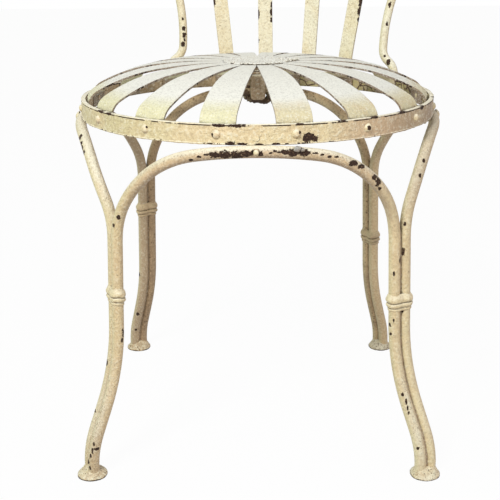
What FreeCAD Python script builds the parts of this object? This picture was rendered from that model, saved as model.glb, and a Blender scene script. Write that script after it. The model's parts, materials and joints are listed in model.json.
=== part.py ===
"""Metal bistro chair: sprung seat of flat steel petals on four bent-rod arches, with a hooped back.

Millimetres. +Z is up and +Y points to the back of the chair; right is +X, for a viewer who faces it.
The origin lies on the floor, under the middle of the whole chair's box.
"""
import FreeCAD, Part
import Sketcher
import math
import os
from FreeCAD import Placement, Rotation, Vector

document = FreeCAD.newDocument("bistro_chair")

# Driving dimensions: name, value, meaning. Lengths in millimetres, angles in degrees.
SIZES = [
    ("clearance", 0.15, "gap left between pieces that touch"),
    ("pair_gap", 0.24, "gap between the two rods of a leg"),
    ("ring_outer_radius", 202.0, "seat ring, outside"),
    ("ring_thickness", 5.0, "seat ring, flat bar bent on edge"),
    ("ring_height", 20.0, "seat ring, width of the bar"),
    ("ring_top_height", 393.0, "top of the seat ring above the floor"),
    ("ring_edge_radius", 0.8, "softened edge of the seat ring"),
    ("petal_count", 16, "petals round the seat"),
    ("petal_thickness", 2.0, "spring steel of a petal"),
    ("petal_rim_width", 37.0, "petal width at the ring"),
    ("petal_split", 0.3, "slit between two petals at the hub"),
    ("petal_tip_radius", 12.0, "inner end of a petal"),
    ("petal_wedge_radius", 42.0, "the petals lie edge to edge inside this radius"),
    ("petal_flat_radius", 60.0, "the petals lie flat inside this radius"),
    ("petal_mid_radius", 118.0, "where a petal starts to drop"),
    ("petal_mid_angle", 8.0, "slope of a petal at the mid radius"),
    ("petal_shoulder_angle", 28.0, "slope of a petal where its end bend starts"),
    ("petal_bend_radius", 22.0, "bend from the dome down into the ring"),
    ("petal_bend_depth", 8.0, "the end bend stops this far under the ring's top"),
    ("petal_tail_inset", 1.0, "petal's lower edge above the ring's lower edge"),
    ("hub_cap_radius", 40.0, "thin disc over the petals"),
    ("hub_cap_thickness", 1.5, "thin disc over the petals"),
    ("hub_disc_radius", 46.0, "disc under the petals"),
    ("hub_disc_thickness", 3.0, "disc under the petals"),
    ("hub_rivet_radius", 4.0, "rivet through the two discs"),
    ("hub_rivet_head_radius", 7.0, "its low head"),
    ("hub_rivet_head_height", 0.8, "its low head"),
    ("rivet_radius", 2.5, "shank of the seat and back rivets"),
    ("rivet_head_radius", 4.0, "round head outside"),
    ("rivet_head_height", 2.8, "round head outside"),
    ("rivet_tail_radius", 3.6, "closed end inside"),
    ("rivet_tail_height", 1.2, "closed end inside"),
    ("side_head_radius", 6.5, "large head on the side arches"),
    ("side_head_height", 4.5, "large head on the side arches"),
    ("rod_radius", 6.25, "round bar of the arches and legs"),
    ("leg_split_drop", 104.6, "two rods part this far under the crowns to form the arches"),
    ("leg_split_outset", 11.0, "leg centre at the split, outside the ring"),
    ("leg_lean_angle", 2.3, "outward lean of the straight shank"),
    ("knee_radius", 226.0, "upper bend of the leg"),
    ("ankle_radius", 95.0, "lower bend of the leg"),
    ("ankle_height", 10.0, "the lower bend starts at this height"),
    ("front_splay_angle", 25.0, "outward slope of a front leg between its bends"),
    ("rear_splay_angle", 19.0, "outward slope of a rear leg between its bends"),
    ("front_foot_outset", 46.5, "front foot further out than the leg at the split"),
    ("rear_foot_outset", 33.0, "rear foot further out than the leg at the split"),
    ("front_twist_angle", 20.0, "turn of the pair of rods about a front leg"),
    ("rear_twist_angle", 8.0, "turn of the pair of rods about a rear leg"),
    ("shoulder_drop", 31.6, "point on the bend of an arch, under its crown"),
    ("shoulder_side_inset", 88.0, "same point, sideways, inside the ring's radius"),
    ("shoulder_inset", 27.25, "same point, nearer to the chair's axis than the crown"),
    ("shoulder_climb_angle", 41.0, "slope of the rod at that point"),
    ("shoulder_heading_angle", 25.0, "turn of the rod in plan at that point"),
    ("collar_height", 18.0, "cast collar round a pair of rods"),
    ("collar_bulge", 3.0, "its widest band beyond the rod"),
    ("front_left_collar_drop", 61.5, "collar's middle under the split"),
    ("front_right_collar_drop", 70.0, "collar's middle under the split"),
    ("rear_left_collar_drop", 48.5, "collar's middle under the split"),
    ("rear_right_collar_drop", 89.0, "collar's middle under the split"),
    ("foot_radius", 16.4, "round foot plate"),
    ("foot_edge_height", 2.0, "upright edge of the foot plate"),
    ("foot_dome_height", 9.5, "top of the foot plate's dome"),
    ("foot_floor", 3.5, "metal under the rods"),
    ("plate_width", 20.0, "plate that ties an arch to the ring"),
    ("plate_thickness", 3.0, "plate that ties an arch to the ring"),
    ("plate_top_inset", 5.0, "its upper edge under the ring's top"),
    ("plate_hole_rise", 6.5, "its upper rivet above the ring's lower edge"),
    ("back_lean_angle", 15.0, "backward lean of the hoop"),
    ("hoop_radius", 5.25, "round bar of the hoop"),
    ("hoop_end_petals", 2, "hoop end, in petals from the middle of the back"),
    ("hoop_end_inset", 1.0, "hoop's lower end above the ring's lower edge"),
    ("hoop_straight", 5.0, "hoop stays upright this far above the ring"),
    ("hoop_waist_half_width", 131.5, "narrowest place of the hoop"),
    ("hoop_waist_rise", 37.0, "its distance above the ring along the hoop"),
    ("hoop_wide_half_width", 168.0, "widest place of the hoop"),
    ("hoop_wide_rise", 224.0, "its distance above the ring along the hoop"),
    ("hoop_top_rise", 445.0, "top of the hoop, along the hoop"),
    ("slat_width", 18.8, "flat bar of a back slat"),
    ("slat_thickness", 3.0, "flat bar of a back slat"),
    ("inner_slat_angle", 8.1, "inner slat from the middle of the back, at the ring"),
    ("outer_slat_petals", 1, "outer slat, in petals from the middle of the back"),
    ("inner_slat_spread", 45.0, "inner slat from the middle of the back, at the hoop"),
    ("outer_slat_spread", 130.0, "outer slat from the middle of the back, at the hoop"),
    ("slat_lap", 9.0, "slat runs this far past the hoop's middle"),
    ("spot_face_depth", 1.5, "flat under a rivet head on a round bar"),
    ("slat_bend_radius", 150.0, "bend of a slat above the ring"),
    ("slat_straight", 4.0, "slat stays against the ring this far above it"),
]

sheet = document.addObject("Spreadsheet::Sheet", "Sizes")
for row, (alias, value, meaning) in enumerate(SIZES, 1):
    sheet.set(f"A{row}", meaning)
    sheet.set(f"B{row}", str(value))
    sheet.setAlias(f"B{row}", alias)
document.recompute()


def size(alias):
    """The number in the sheet's cell of that name."""
    return float(sheet.get(alias))


# Sizes worked out from the driving dimensions

def clear_chord(radius, width):
    """How far from the axis a flat bar of that width lies when it is laid inside a round wall."""
    return math.sqrt(radius ** 2 - (width / 2) ** 2) - size("clearance")


clearance = size("clearance")
ring_outer_radius = size("ring_outer_radius")
ring_inner_radius = ring_outer_radius - size("ring_thickness")
ring_bottom_height = size("ring_top_height") - size("ring_height")
ring_middle_height = ring_bottom_height + size("ring_height") / 2
petal_count = int(size("petal_count"))
petal_pitch = 360.0 / petal_count
petal_thickness = size("petal_thickness")
petal_outer_radius = clear_chord(ring_inner_radius, size("petal_rim_width"))
rod_radius = size("rod_radius")
pair_offset = rod_radius + size("pair_gap") / 2
crown_height = ring_bottom_height - clearance - rod_radius
crown_reach = ring_inner_radius + rod_radius
plate_outer_reach = clear_chord(ring_inner_radius, size("plate_width"))
plate_inner_reach = plate_outer_reach - size("plate_thickness")
plate_hole_height = ring_bottom_height + size("plate_hole_rise")
plate_top_height = size("ring_top_height") - size("plate_top_inset")
split_height = crown_height - size("leg_split_drop")
split_reach = ring_outer_radius + size("leg_split_outset")
foot_reaches = {end: split_reach + size(f"{end}_foot_outset") for end in ("front", "rear")}
back_turn = petal_pitch / 2
hoop_radius = size("hoop_radius")
hoop_end_turn = size("hoop_end_petals") * petal_pitch
hoop_reach = ring_outer_radius + clearance + hoop_radius
slat_thickness = size("slat_thickness")
slat_reach = ring_outer_radius + clearance + slat_thickness / 2
slat_turns = {"inner": size("inner_slat_angle"), "outer": size("outer_slat_petals") * petal_pitch}
UP = Vector(0, 0, 1)
TINY = 1e-6
DOME_SHARE = 0.6
TRIM_MARGIN = 1.0
DRAWN_RADIUS = 10.0
RIVET_HOLE = "Sizes.rivet_radius + Sizes.clearance"
ROD_HOLE = "Sizes.rod_radius + Sizes.clearance"


def around(turn, reach, height):
    """A point at that reach and height, turned by degrees from the rear middle towards +X."""
    angle = math.radians(turn)
    return Vector(reach * math.sin(angle), reach * math.cos(angle), height)


def outward(turn):
    """The level unit vector that points away from the axis at that turn."""
    return around(turn, 1.0, 0.0)


def sideways(turn):
    """The level unit vector along the rim at that turn, towards growing turns."""
    return around(turn + 90.0, 1.0, 0.0)


def dome_height(radius, rise, reach):
    """Height of a round dome over its edge, at that reach from its axis."""
    sphere = (radius ** 2 + rise ** 2) / (2 * rise)
    return rise - sphere + math.sqrt(sphere ** 2 - reach ** 2)


# Document helpers

parts = []


def finish(item, label):
    """Give a sub-part its label and put it on the list that is written out."""
    item.Label = label
    parts.append(item)
    return item


def new_sketch(body, name, role):
    """A sketch on one of the body's own origin planes."""
    sketch = body.newObject("Sketcher::SketchObject", name)
    plane = [item for item in body.Origin.OriginFeatures if item.Role == role][0]
    sketch.AttachmentSupport = (plane, [""])
    sketch.MapMode = "FlatFace"
    return sketch


def add_pad(body, sketch, name, length, midplane=False):
    """Pad a sketch by a length given as an expression."""
    pad = body.newObject("PartDesign::Pad", name)
    pad.Profile = sketch
    pad.setExpression("Length", length)
    pad.Midplane = midplane
    return pad


def add_revolution(body, sketch, name, axis="V_Axis"):
    """Turn a sketch a full turn round one of its axes."""
    revolution = body.newObject("PartDesign::Revolution", name)
    revolution.Profile = sketch
    revolution.ReferenceAxis = (sketch, [axis])
    revolution.Angle = 360.0
    return revolution


def add_circle(sketch, expression):
    """A circle round the sketch's origin with its radius bound to the sheet."""
    index = sketch.addGeometry(Part.Circle(Vector(0, 0, 0), UP, DRAWN_RADIUS))
    sketch.addConstraint(Sketcher.Constraint("Coincident", index, 3, -1, 1))
    number = sketch.addConstraint(Sketcher.Constraint("Radius", index, DRAWN_RADIUS))
    sketch.setExpression(f"Constraints[{number}]", expression)


def line(start, end):
    """A straight edge between two points of a sketch, each given as a pair."""
    return Part.LineSegment(Vector(*start, 0), Vector(*end, 0))


def arc(start, middle, end):
    """A round edge through three points of a sketch, each given as a pair."""
    return Part.Arc(Vector(*start, 0), Vector(*middle, 0), Vector(*end, 0))


def add_outline(sketch, points):
    """Draw a closed outline through points; a point marked "bend" lies in the middle of an arc."""
    count = len(points)
    for step in range(count):
        here = points[step]
        after = points[(step + 1) % count]
        if here[-1] == "bend":
            continue
        if after[-1] == "bend":
            sketch.addGeometry(arc(here, after[:2], points[(step + 2) % count]))
        else:
            sketch.addGeometry(line(here, after))


def drilled(base, name, holes):
    """Cut round holes, each given by its middle, direction, length and radius expression."""
    drills = []
    for number, (middle, direction, length, radius) in enumerate(holes, 1):
        drill = document.addObject("Part::Cylinder", f"{name}_drill_{number}")
        drill.setExpression("Radius", radius)
        drill.Height = length
        turn = Rotation(UP, direction)
        drill.Placement = Placement(middle - turn.multVec(UP) * (length / 2), turn)
        drills.append(drill)
    tool = document.addObject("Part::Compound", f"{name}_drills")
    tool.Links = drills
    cut = document.addObject("Part::Cut", f"{name}_cut")
    cut.Base = base
    cut.Tool = tool
    return cut


# Curves in space

def tangent_arc(start, heading, end):
    """The edge that leaves start along heading and runs round to end."""
    chord = end - start
    side = heading - chord * (heading.dot(chord) / chord.dot(chord))
    if side.Length < TINY:
        return Part.LineSegment(start, end).toShape()
    swing = heading.getAngle(chord)
    rise = chord.Length / 2 * math.tan(swing / 2)
    middle = (start + end) * 0.5 + side.normalize() * rise
    return Part.Arc(start, middle, end).toShape()


def biarc(start, heading, end, arrival):
    """Two arcs that join two points, tangent to a unit vector at each."""
    chord = end - start
    along = chord.dot(heading + arrival)
    spread = 1.0 - heading.dot(arrival)
    if spread < TINY ** 2:
        reach = chord.dot(chord) / (4 * chord.dot(heading))
    else:
        reach = (math.sqrt(along ** 2 + 2 * spread * chord.dot(chord)) - along) / (2 * spread)
    near = start + heading * reach
    far = end - arrival * reach
    meeting = (near + far) * 0.5
    turning = far - near
    turning.normalize()
    return [tangent_arc(start, heading, meeting), tangent_arc(meeting, turning, end)]


def straight(start, end):
    """A straight edge in space."""
    return Part.LineSegment(start, end).toShape()


def swept_rod(edges, radius):
    """A round bar along joined edges, with flat ends."""
    path = Part.Wire(Part.__sortEdges__(edges))
    first = path.OrderedEdges[0]
    at_start = first.FirstParameter if first.Orientation == "Forward" else first.LastParameter
    heading = first.tangentAt(at_start)
    circle = Part.Wire(Part.Circle(first.valueAt(at_start), heading, radius).toShape())
    return path.makePipeShell([circle], True, False)


def add_feature(name, shape):
    """A plain feature that holds a shape."""
    feature = document.addObject("Part::Feature", name)
    feature.Shape = shape
    return feature


# Seat ring: flat bar bent on edge, drilled for every rivet that it takes

def ring_holes():
    """Turn and height of each rivet hole in the ring."""
    holes = [((step + 0.5) * petal_pitch, ring_middle_height) for step in range(petal_count)]
    holes += [(90.0 * step, plate_hole_height) for step in range(4)]
    holes += [(back_turn + side * slat_turns["inner"], ring_middle_height) for side in (-1, 1)]
    return holes


def make_seat_ring():
    """The ring as a padded annulus with softened edges."""
    body = document.addObject("PartDesign::Body", "ring_body")
    sketch = new_sketch(body, "ring_section", "XY_Plane")
    add_circle(sketch, "Sizes.ring_outer_radius")
    add_circle(sketch, "Sizes.ring_outer_radius - Sizes.ring_thickness")
    pad = add_pad(body, sketch, "ring_bar", "Sizes.ring_height")
    document.recompute()
    fillet = body.newObject("PartDesign::Fillet", "ring_soft_edges")
    fillet.Base = (pad, [f"Edge{number}" for number, edge in enumerate(pad.Shape.Edges, 1)
                         if edge.Closed])
    fillet.setExpression("Radius", "Sizes.ring_edge_radius")
    body.setExpression("Placement.Base.z", "Sizes.ring_top_height - Sizes.ring_height")
    length = 4 * size("ring_thickness")
    holes = [(around(turn, ring_outer_radius - size("ring_thickness") / 2, height), outward(turn),
              length, RIVET_HOLE) for turn, height in ring_holes()]
    return finish(drilled(body, "seat_ring", holes), "seat_ring")


# Petals: spring steel strips, riveted inside the ring and clamped between the two hub discs

def petal_section():
    """Side view of a petal: points (reach, height) of its upper face, then of its lower face back."""
    mid_slope = math.radians(size("petal_mid_angle"))
    shoulder_slope = math.radians(size("petal_shoulder_angle"))
    bend = size("petal_bend_radius")
    bend_height = size("ring_top_height") - size("petal_bend_depth")
    bend_centre = (petal_outer_radius - bend, bend_height)
    shoulder = (bend_centre[0] + bend * math.sin(shoulder_slope),
                bend_height + bend * math.cos(shoulder_slope))
    mid_reach = size("petal_mid_radius")
    outer_arc = (shoulder[0] - mid_reach) / (math.sin(shoulder_slope) - math.sin(mid_slope))
    outer_centre = (shoulder[0] - outer_arc * math.sin(shoulder_slope),
                    shoulder[1] - outer_arc * math.cos(shoulder_slope))
    inner_arc = (mid_reach - size("petal_flat_radius")) / math.sin(mid_slope)
    mid_height = outer_centre[1] + outer_arc * math.cos(mid_slope)
    inner_centre = (size("petal_flat_radius"), mid_height - inner_arc * math.cos(mid_slope))
    tail_height = ring_bottom_height + size("petal_tail_inset")

    def on_arc(centre, radius, slope):
        """The point of an arc where the petal has that slope."""
        return (centre[0] + radius * math.sin(slope), centre[1] + radius * math.cos(slope))

    def face(depth):
        """The face that lies that far inside the upper one, from tail to tip."""
        return [
            (petal_outer_radius - depth, tail_height),
            (petal_outer_radius - depth, bend_height),
            on_arc(bend_centre, bend - depth, (math.pi / 2 + shoulder_slope) / 2) + ("bend",),
            on_arc(bend_centre, bend - depth, shoulder_slope),
            on_arc(outer_centre, outer_arc - depth, (shoulder_slope + mid_slope) / 2) + ("bend",),
            on_arc(outer_centre, outer_arc - depth, mid_slope),
            on_arc(inner_centre, inner_arc - depth, mid_slope / 2) + ("bend",),
            on_arc(inner_centre, inner_arc - depth, 0.0),
            (size("petal_tip_radius"), inner_centre[1] + inner_arc - depth),
        ]

    return face(0.0) + face(petal_thickness)[::-1]


petal_top_height = petal_section()[8][1]


def petal_waste(side):
    """Plan of what is trimmed off one side of a petal: a wedge, then a long curve out to the rim."""
    def wedge(reach):
        return reach * math.tan(math.radians(petal_pitch / 2)) - size("petal_split") / 2

    tip = size("petal_tip_radius") - TRIM_MARGIN
    inner_reach = size("petal_wedge_radius")
    inner_half = wedge(inner_reach)
    rim_half = size("petal_rim_width") / 2
    rise = rim_half - inner_half
    run = petal_outer_radius - inner_reach
    curve_radius = (run ** 2 + rise ** 2) / (2 * rise)
    half_run = run / 2
    bulge = rim_half - (curve_radius - math.sqrt(curve_radius ** 2 - half_run ** 2))
    waste_half = rim_half + petal_thickness
    past_rim = petal_outer_radius + TRIM_MARGIN
    points = [(wedge(tip), tip), (inner_half, inner_reach), (bulge, inner_reach + half_run, "bend"),
              (rim_half, petal_outer_radius), (rim_half, past_rim), (waste_half, past_rim),
              (waste_half, tip)]
    return [(side * point[0],) + point[1:] for point in points]


def make_petal(number):
    """One petal, padded from its side view and trimmed to its plan."""
    name = f"petal_{number:02d}"
    turn = (number - 0.5) * petal_pitch
    body = document.addObject("PartDesign::Body", f"{name}_body")
    section = new_sketch(body, f"{name}_section", "YZ_Plane")
    add_outline(section, petal_section())
    add_pad(body, section, f"{name}_strip", "Sizes.petal_rim_width + Sizes.petal_thickness", True)
    plan = new_sketch(body, f"{name}_plan", "XY_Plane")
    for side in (-1, 1):
        add_outline(plan, petal_waste(side))
    trim = body.newObject("PartDesign::Pocket", f"{name}_trim")
    trim.Profile = plan
    trim.Reversed = True
    trim.Type = "ThroughAll"
    body.Placement = Placement(Vector(0, 0, 0), Rotation(UP, -turn))
    hole = (around(turn, petal_outer_radius, ring_middle_height), outward(turn),
            8 * petal_thickness, RIVET_HOLE)
    return finish(drilled(body, name, [hole]), name)


# Hub: two discs that clamp the petals' inner ends, with one rivet

def make_disc(name, radius, thickness, height):
    """A flat round disc with a hole for the hub rivet; radius and thickness name sizes."""
    body = document.addObject("PartDesign::Body", f"{name}_body")
    sketch = new_sketch(body, f"{name}_round", "XY_Plane")
    add_circle(sketch, f"Sizes.{radius}")
    add_circle(sketch, "Sizes.hub_rivet_radius + Sizes.clearance")
    add_pad(body, sketch, f"{name}_plate", f"Sizes.{thickness}")
    body.Placement = Placement(Vector(0, 0, height), Rotation())
    return finish(body, name)


hub_cap_height = petal_top_height + clearance
hub_disc_height = petal_top_height - petal_thickness - clearance - size("hub_disc_thickness")


# Rivets

def rivet(seat, direction, grip, shank, head, tail):
    """A rivet with its head on seat and its shank along direction. Head and tail: (radius, height)."""

    def point(reach, along):
        return Vector(reach, 0, along)

    def cap(radius, base, rise, sign):
        """The curve of a low dome from the axis to its edge."""
        reach = radius * DOME_SHARE
        middle = point(reach, base + sign * dome_height(radius, rise, reach))
        return Part.Arc(point(0, base + sign * rise), middle, point(radius, base)).toShape()

    if head[1]:
        edges = [cap(head[0], 0.0, head[1], -1), straight(point(head[0], 0), point(shank, 0))]
    else:
        edges = [straight(point(0, 0), point(shank, 0))]
    edges.append(straight(point(shank, 0), point(shank, grip)))
    edges.append(straight(point(shank, grip), point(tail[0], grip)))
    edges.append(cap(tail[0], grip, tail[1], 1))
    edges.append(straight(point(0, grip + tail[1]), point(0, -head[1])))
    face = Part.Face(Part.Wire(Part.__sortEdges__(edges)))
    solid = face.revolve(point(0, 0), UP, 360.0)
    if solid.Volume < 0:
        solid.reverse()
    solid.Placement = Placement(seat, Rotation(UP, direction))
    return solid


def rivet_group(name, rivets):
    """Like rivets as one node of separate solids."""
    return finish(add_feature(name, Part.makeCompound(rivets)), name)


rivet_shank = size("rivet_radius")
round_head = (size("rivet_head_radius"), size("rivet_head_height"))
side_head = (size("side_head_radius"), size("side_head_height"))
flush_head = (rivet_shank, 0.0)
closed_tail = (size("rivet_tail_radius"), size("rivet_tail_height"))


def inward_rivet(turn, height, outer_reach, inner_reach, head=round_head):
    """A level rivet from outside towards the axis."""
    seat = outer_reach + clearance if head[1] else outer_reach
    grip = seat - inner_reach + clearance
    return rivet(around(turn, seat, height), outward(turn) * -1, grip, rivet_shank, head, closed_tail)


# Arches: one long round bar each, from foot to foot; two bars side by side make a leg

def leg_profile(splay, foot_reach):
    """Points (reach, height) of a leg's middle line from the foot up, arcs' middles marked "bend"."""
    lean = math.radians(size("leg_lean_angle"))
    slope = math.radians(splay)
    ankle = size("ankle_radius")
    knee = size("knee_radius")
    start_height = size("ankle_height")

    def ankle_point(angle):
        return (foot_reach - ankle * (1 - math.cos(angle)), start_height + ankle * math.sin(angle))

    ankle_end = ankle_point(slope)
    knee_shift = knee * (math.cos(lean) - math.cos(slope))
    knee_rise = knee * (math.sin(slope) - math.sin(lean))
    shank_reach = split_reach + (split_height - ankle_end[1] - knee_rise) * math.tan(lean)
    surplus = ankle_end[0] - knee_shift - shank_reach
    run = surplus / (math.sin(slope) - math.cos(slope) * math.tan(lean))
    knee_start = (ankle_end[0] - run * math.sin(slope), ankle_end[1] + run * math.cos(slope))

    def knee_point(angle):
        return (knee_start[0] + knee * (math.cos(slope) - math.cos(angle)),
                knee_start[1] + knee * (math.sin(slope) - math.sin(angle)))

    return [
        (foot_reach, size("foot_floor") + clearance),
        (foot_reach, start_height),
        ankle_point(slope / 2) + ("bend",),
        ankle_end,
        knee_start,
        knee_point((lean + slope) / 2) + ("bend",),
        knee_point(lean),
        (split_reach, split_height),
    ]


ARCH_TURNS = {"rear": 0, "right": 90, "front": 180, "left": 270}
LEG_TURNS = {"rear_right": 45, "front_right": 135, "front_left": 225, "rear_left": 315}
LEG_PROFILES = {end: leg_profile(size(f"{end}_splay_angle"), foot_reaches[end])
                for end in ("front", "rear")}


def leg_end(corner):
    """Whether the leg at that turn is a front or a rear one."""
    return "front" if 90 < corner % 360 < 270 else "rear"


def pair_direction(corner):
    """The level unit vector from one rod of a leg to the other."""
    return sideways(corner + size(f"{leg_end(corner)}_twist_angle"))


def half_arch(arch_turn, side):
    """Edges of one half of an arch's middle line, from the foot up to the crown."""
    corner = (arch_turn + side * 45) % 360
    profile = LEG_PROFILES[leg_end(corner)]
    aside = pair_direction(corner) * (-side * pair_offset)

    def leg_point(entry):
        return around(corner, entry[0], entry[1]) + aside

    def local(along, out, height):
        """A vector from sideways, outward and upward shares, seen from the arch's middle."""
        return sideways(arch_turn) * (side * along) + outward(arch_turn) * out + UP * height

    edges = []
    for here, after in zip(profile, profile[1:]):
        if after[-1] == "bend":
            start = leg_point(here)
            middle = leg_point(after)
        elif here[-1] == "bend":
            edges.append(Part.Arc(start, middle, leg_point(after)).toShape())
        else:
            edges.append(straight(leg_point(here), leg_point(after)))
    lean = math.radians(size("leg_lean_angle"))
    climb = math.radians(size("shoulder_climb_angle"))
    heading = math.radians(size("shoulder_heading_angle"))
    shank = UP * math.cos(lean) - outward(corner) * math.sin(lean)
    shoulder = local(ring_outer_radius - size("shoulder_side_inset"),
                     crown_reach - size("shoulder_inset"), crown_height - size("shoulder_drop"))
    rise = local(-math.cos(climb) * math.cos(heading), math.cos(climb) * math.sin(heading),
                 math.sin(climb))
    crown = local(0.0, crown_reach, crown_height)
    edges += biarc(leg_point(profile[-1]), shank, shoulder, rise)
    edges += biarc(shoulder, rise, crown, local(-1.0, 0.0, 0.0))
    return edges


def spot_face(turn, rod_reach, height, radius, head):
    """The flat for a rivet head on the outer side of a round bar."""
    depth = 2 * radius
    seat = rod_reach + radius - size("spot_face_depth")
    return (around(turn, seat + depth / 2, height), outward(turn), depth,
            f"Sizes.{head}_radius + Sizes.clearance")


def make_arch(name, turn):
    """An arch, drilled at its crown."""
    rod = add_feature(f"{name}_rod", swept_rod(half_arch(turn, 1) + half_arch(turn, -1), rod_radius))
    head = "side_head" if name in ("left", "right") else "rivet_head"
    hole = (around(turn, crown_reach, crown_height), outward(turn), 4 * rod_radius, RIVET_HOLE)
    holes = [hole, spot_face(turn, crown_reach, crown_height, rod_radius, head)]
    return finish(drilled(rod, f"{name}_arch", holes), f"{name}_arch")


# Collars: a cast sleeve round both rods of a leg. Shares of the bulge and of the height, upwards.

COLLAR_SHARES = [(0.3, 0.0), (0.3, 0.12), (0.17, 0.15), (0.47, 0.18), (0.83, 0.39), (0.35, 0.44),
                 (0.8, 0.48), (1.0, 0.56), (0.75, 0.78), (0.2, 1.0)]


def make_collar(corner, turn):
    """A collar: its profile turned round one rod and mirrored to the other, then bored."""
    name = f"{corner}_collar"
    height = size("collar_height")
    body = document.addObject("PartDesign::Body", f"{name}_body")
    sketch = new_sketch(body, f"{name}_profile", "XZ_Plane")
    outline = [(pair_offset, height), (pair_offset, 0.0)]
    outline += [(pair_offset + rod_radius + size("collar_bulge") * share, height * level)
                for share, level in COLLAR_SHARES]
    add_outline(sketch, outline)
    sketch.addGeometry(line(outline[0], outline[1]), True)
    lobe = add_revolution(body, sketch, f"{name}_lobe", "Axis0")
    document.recompute()
    both = body.newObject("PartDesign::Mirrored", f"{name}_pair")
    both.Originals = [lobe]
    both.MirrorPlane = (sketch, ["V_Axis"])
    body.Tip = both
    lean = math.radians(size("leg_lean_angle"))
    axis = UP * math.cos(lean) - outward(turn) * math.sin(lean)
    drop = size(f"{corner}_collar_drop")
    middle = around(turn, split_reach + drop * math.tan(lean), split_height - drop)
    across = pair_direction(turn)
    body.Placement = Placement(middle - axis * (height / 2),
                               Rotation(across, axis.cross(across), axis, "ZXY"))
    holes = [(middle + across * (side * pair_offset), axis, 3 * height, ROD_HOLE) for side in (-1, 1)]
    return finish(drilled(body, name, holes), name)


# Feet: domed round plates with sockets for the rod ends

def make_foot(corner, turn):
    """A foot under one leg."""
    name = f"{corner}_foot"
    radius = size("foot_radius")
    edge = size("foot_edge_height")
    top = size("foot_dome_height")
    body = document.addObject("PartDesign::Body", f"{name}_body")
    sketch = new_sketch(body, f"{name}_profile", "XZ_Plane")
    share = radius * DOME_SHARE
    middle = (share, edge + dome_height(radius, top - edge, share), "bend")
    add_outline(sketch, [(0.0, 0.0), (radius, 0.0), (radius, edge), middle, (0.0, top)])
    add_revolution(body, sketch, f"{name}_dome")
    reach = foot_reaches[leg_end(turn)]
    body.Placement = Placement(around(turn, reach, 0.0), Rotation(UP, -turn))
    depth = 2 * top
    centre = around(turn, reach, size("foot_floor") + depth / 2)
    holes = [(centre + pair_direction(turn) * (side * pair_offset), UP, depth, ROD_HOLE)
             for side in (-1, 1)]
    return finish(drilled(body, name, holes), name)


# Tie plates: each joins the crown of an arch to the inside of the ring

def make_plate(name, turn):
    """A plate with a round lower end about the crown's rivet."""
    half = size("plate_width") / 2
    top = plate_top_height
    body = document.addObject("PartDesign::Body", f"{name}_plate_body")
    sketch = new_sketch(body, f"{name}_plate_outline", "XZ_Plane")
    add_outline(sketch, [(-half, top), (-half, crown_height), (0.0, crown_height - half, "bend"),
                         (half, crown_height), (half, top)])
    add_pad(body, sketch, f"{name}_plate_bar", "Sizes.plate_thickness", True)
    middle_reach = (plate_outer_reach + plate_inner_reach) / 2
    body.Placement = Placement(around(turn, middle_reach, 0.0), Rotation(UP, -turn))
    holes = [(around(turn, middle_reach, height), outward(turn), 4 * size("plate_thickness"), RIVET_HOLE)
             for height in (crown_height, plate_hole_height)]
    return finish(drilled(body, f"{name}_plate", holes), f"{name}_plate")


# Back: a leaning hoop of round bar and four flat slats, all riveted to the outside of the ring

back_out = outward(back_turn)
back_side = sideways(back_turn)
back_lean = math.radians(size("back_lean_angle"))
hoop_up = UP * math.cos(back_lean) + back_out * math.sin(back_lean)
hoop_rear = back_out * math.cos(back_lean) - UP * math.sin(back_lean)
hoop_foot_out = hoop_reach * math.cos(math.radians(hoop_end_turn))


def hoop_point(spread, rise):
    """A point of the hoop's leaning plane: sideways from its middle, and up along it from the ring."""
    foot = back_out * hoop_foot_out + UP * size("ring_top_height")
    return foot + back_side * spread + hoop_up * rise


def half_hoop(side):
    """Edges of one half of the hoop's middle line, from its lower end up to the top."""
    turn = back_turn + side * hoop_end_turn
    lower = around(turn, hoop_reach, ring_bottom_height + size("hoop_end_inset"))
    bend = around(turn, hoop_reach, size("ring_top_height") + size("hoop_straight"))
    waist = hoop_point(side * size("hoop_waist_half_width"), size("hoop_waist_rise"))
    widest = hoop_point(side * size("hoop_wide_half_width"), size("hoop_wide_rise"))
    top = hoop_point(0.0, size("hoop_top_rise"))
    edges = [straight(lower, bend)]
    edges += biarc(bend, UP, waist, hoop_up)
    edges += biarc(waist, hoop_up, widest, hoop_up)
    edges += biarc(widest, hoop_up, top, back_side * -side)
    return edges


hoop_edges = {side: half_hoop(side) for side in (-1, 1)}


def hoop_crossing(spread):
    """The point of the hoop's upper part at that spread."""
    side = 1 if spread > 0 else -1
    best = None
    for edge in hoop_edges[side][-2:]:
        plane = Part.Plane(hoop_point(spread, 0.0), back_side)
        for hit in edge.Curve.intersect(plane)[0]:
            point = Vector(hit.X, hit.Y, hit.Z)
            on_edge = edge.distToShape(Part.Vertex(point))[0] < 100 * TINY
            if on_edge and (best is None or point.z > best.z):
                best = point
    return best


def slat_crossings():
    """Ring turn and hoop crossing of each slat, from left to right."""
    rows = []
    for side, kinds in ((-1, ("outer", "inner")), (1, ("inner", "outer"))):
        for kind in kinds:
            crossing = hoop_crossing(side * size(f"{kind}_slat_spread"))
            rows.append((back_turn + side * slat_turns[kind], crossing))
    return rows


SLATS = slat_crossings()


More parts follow.
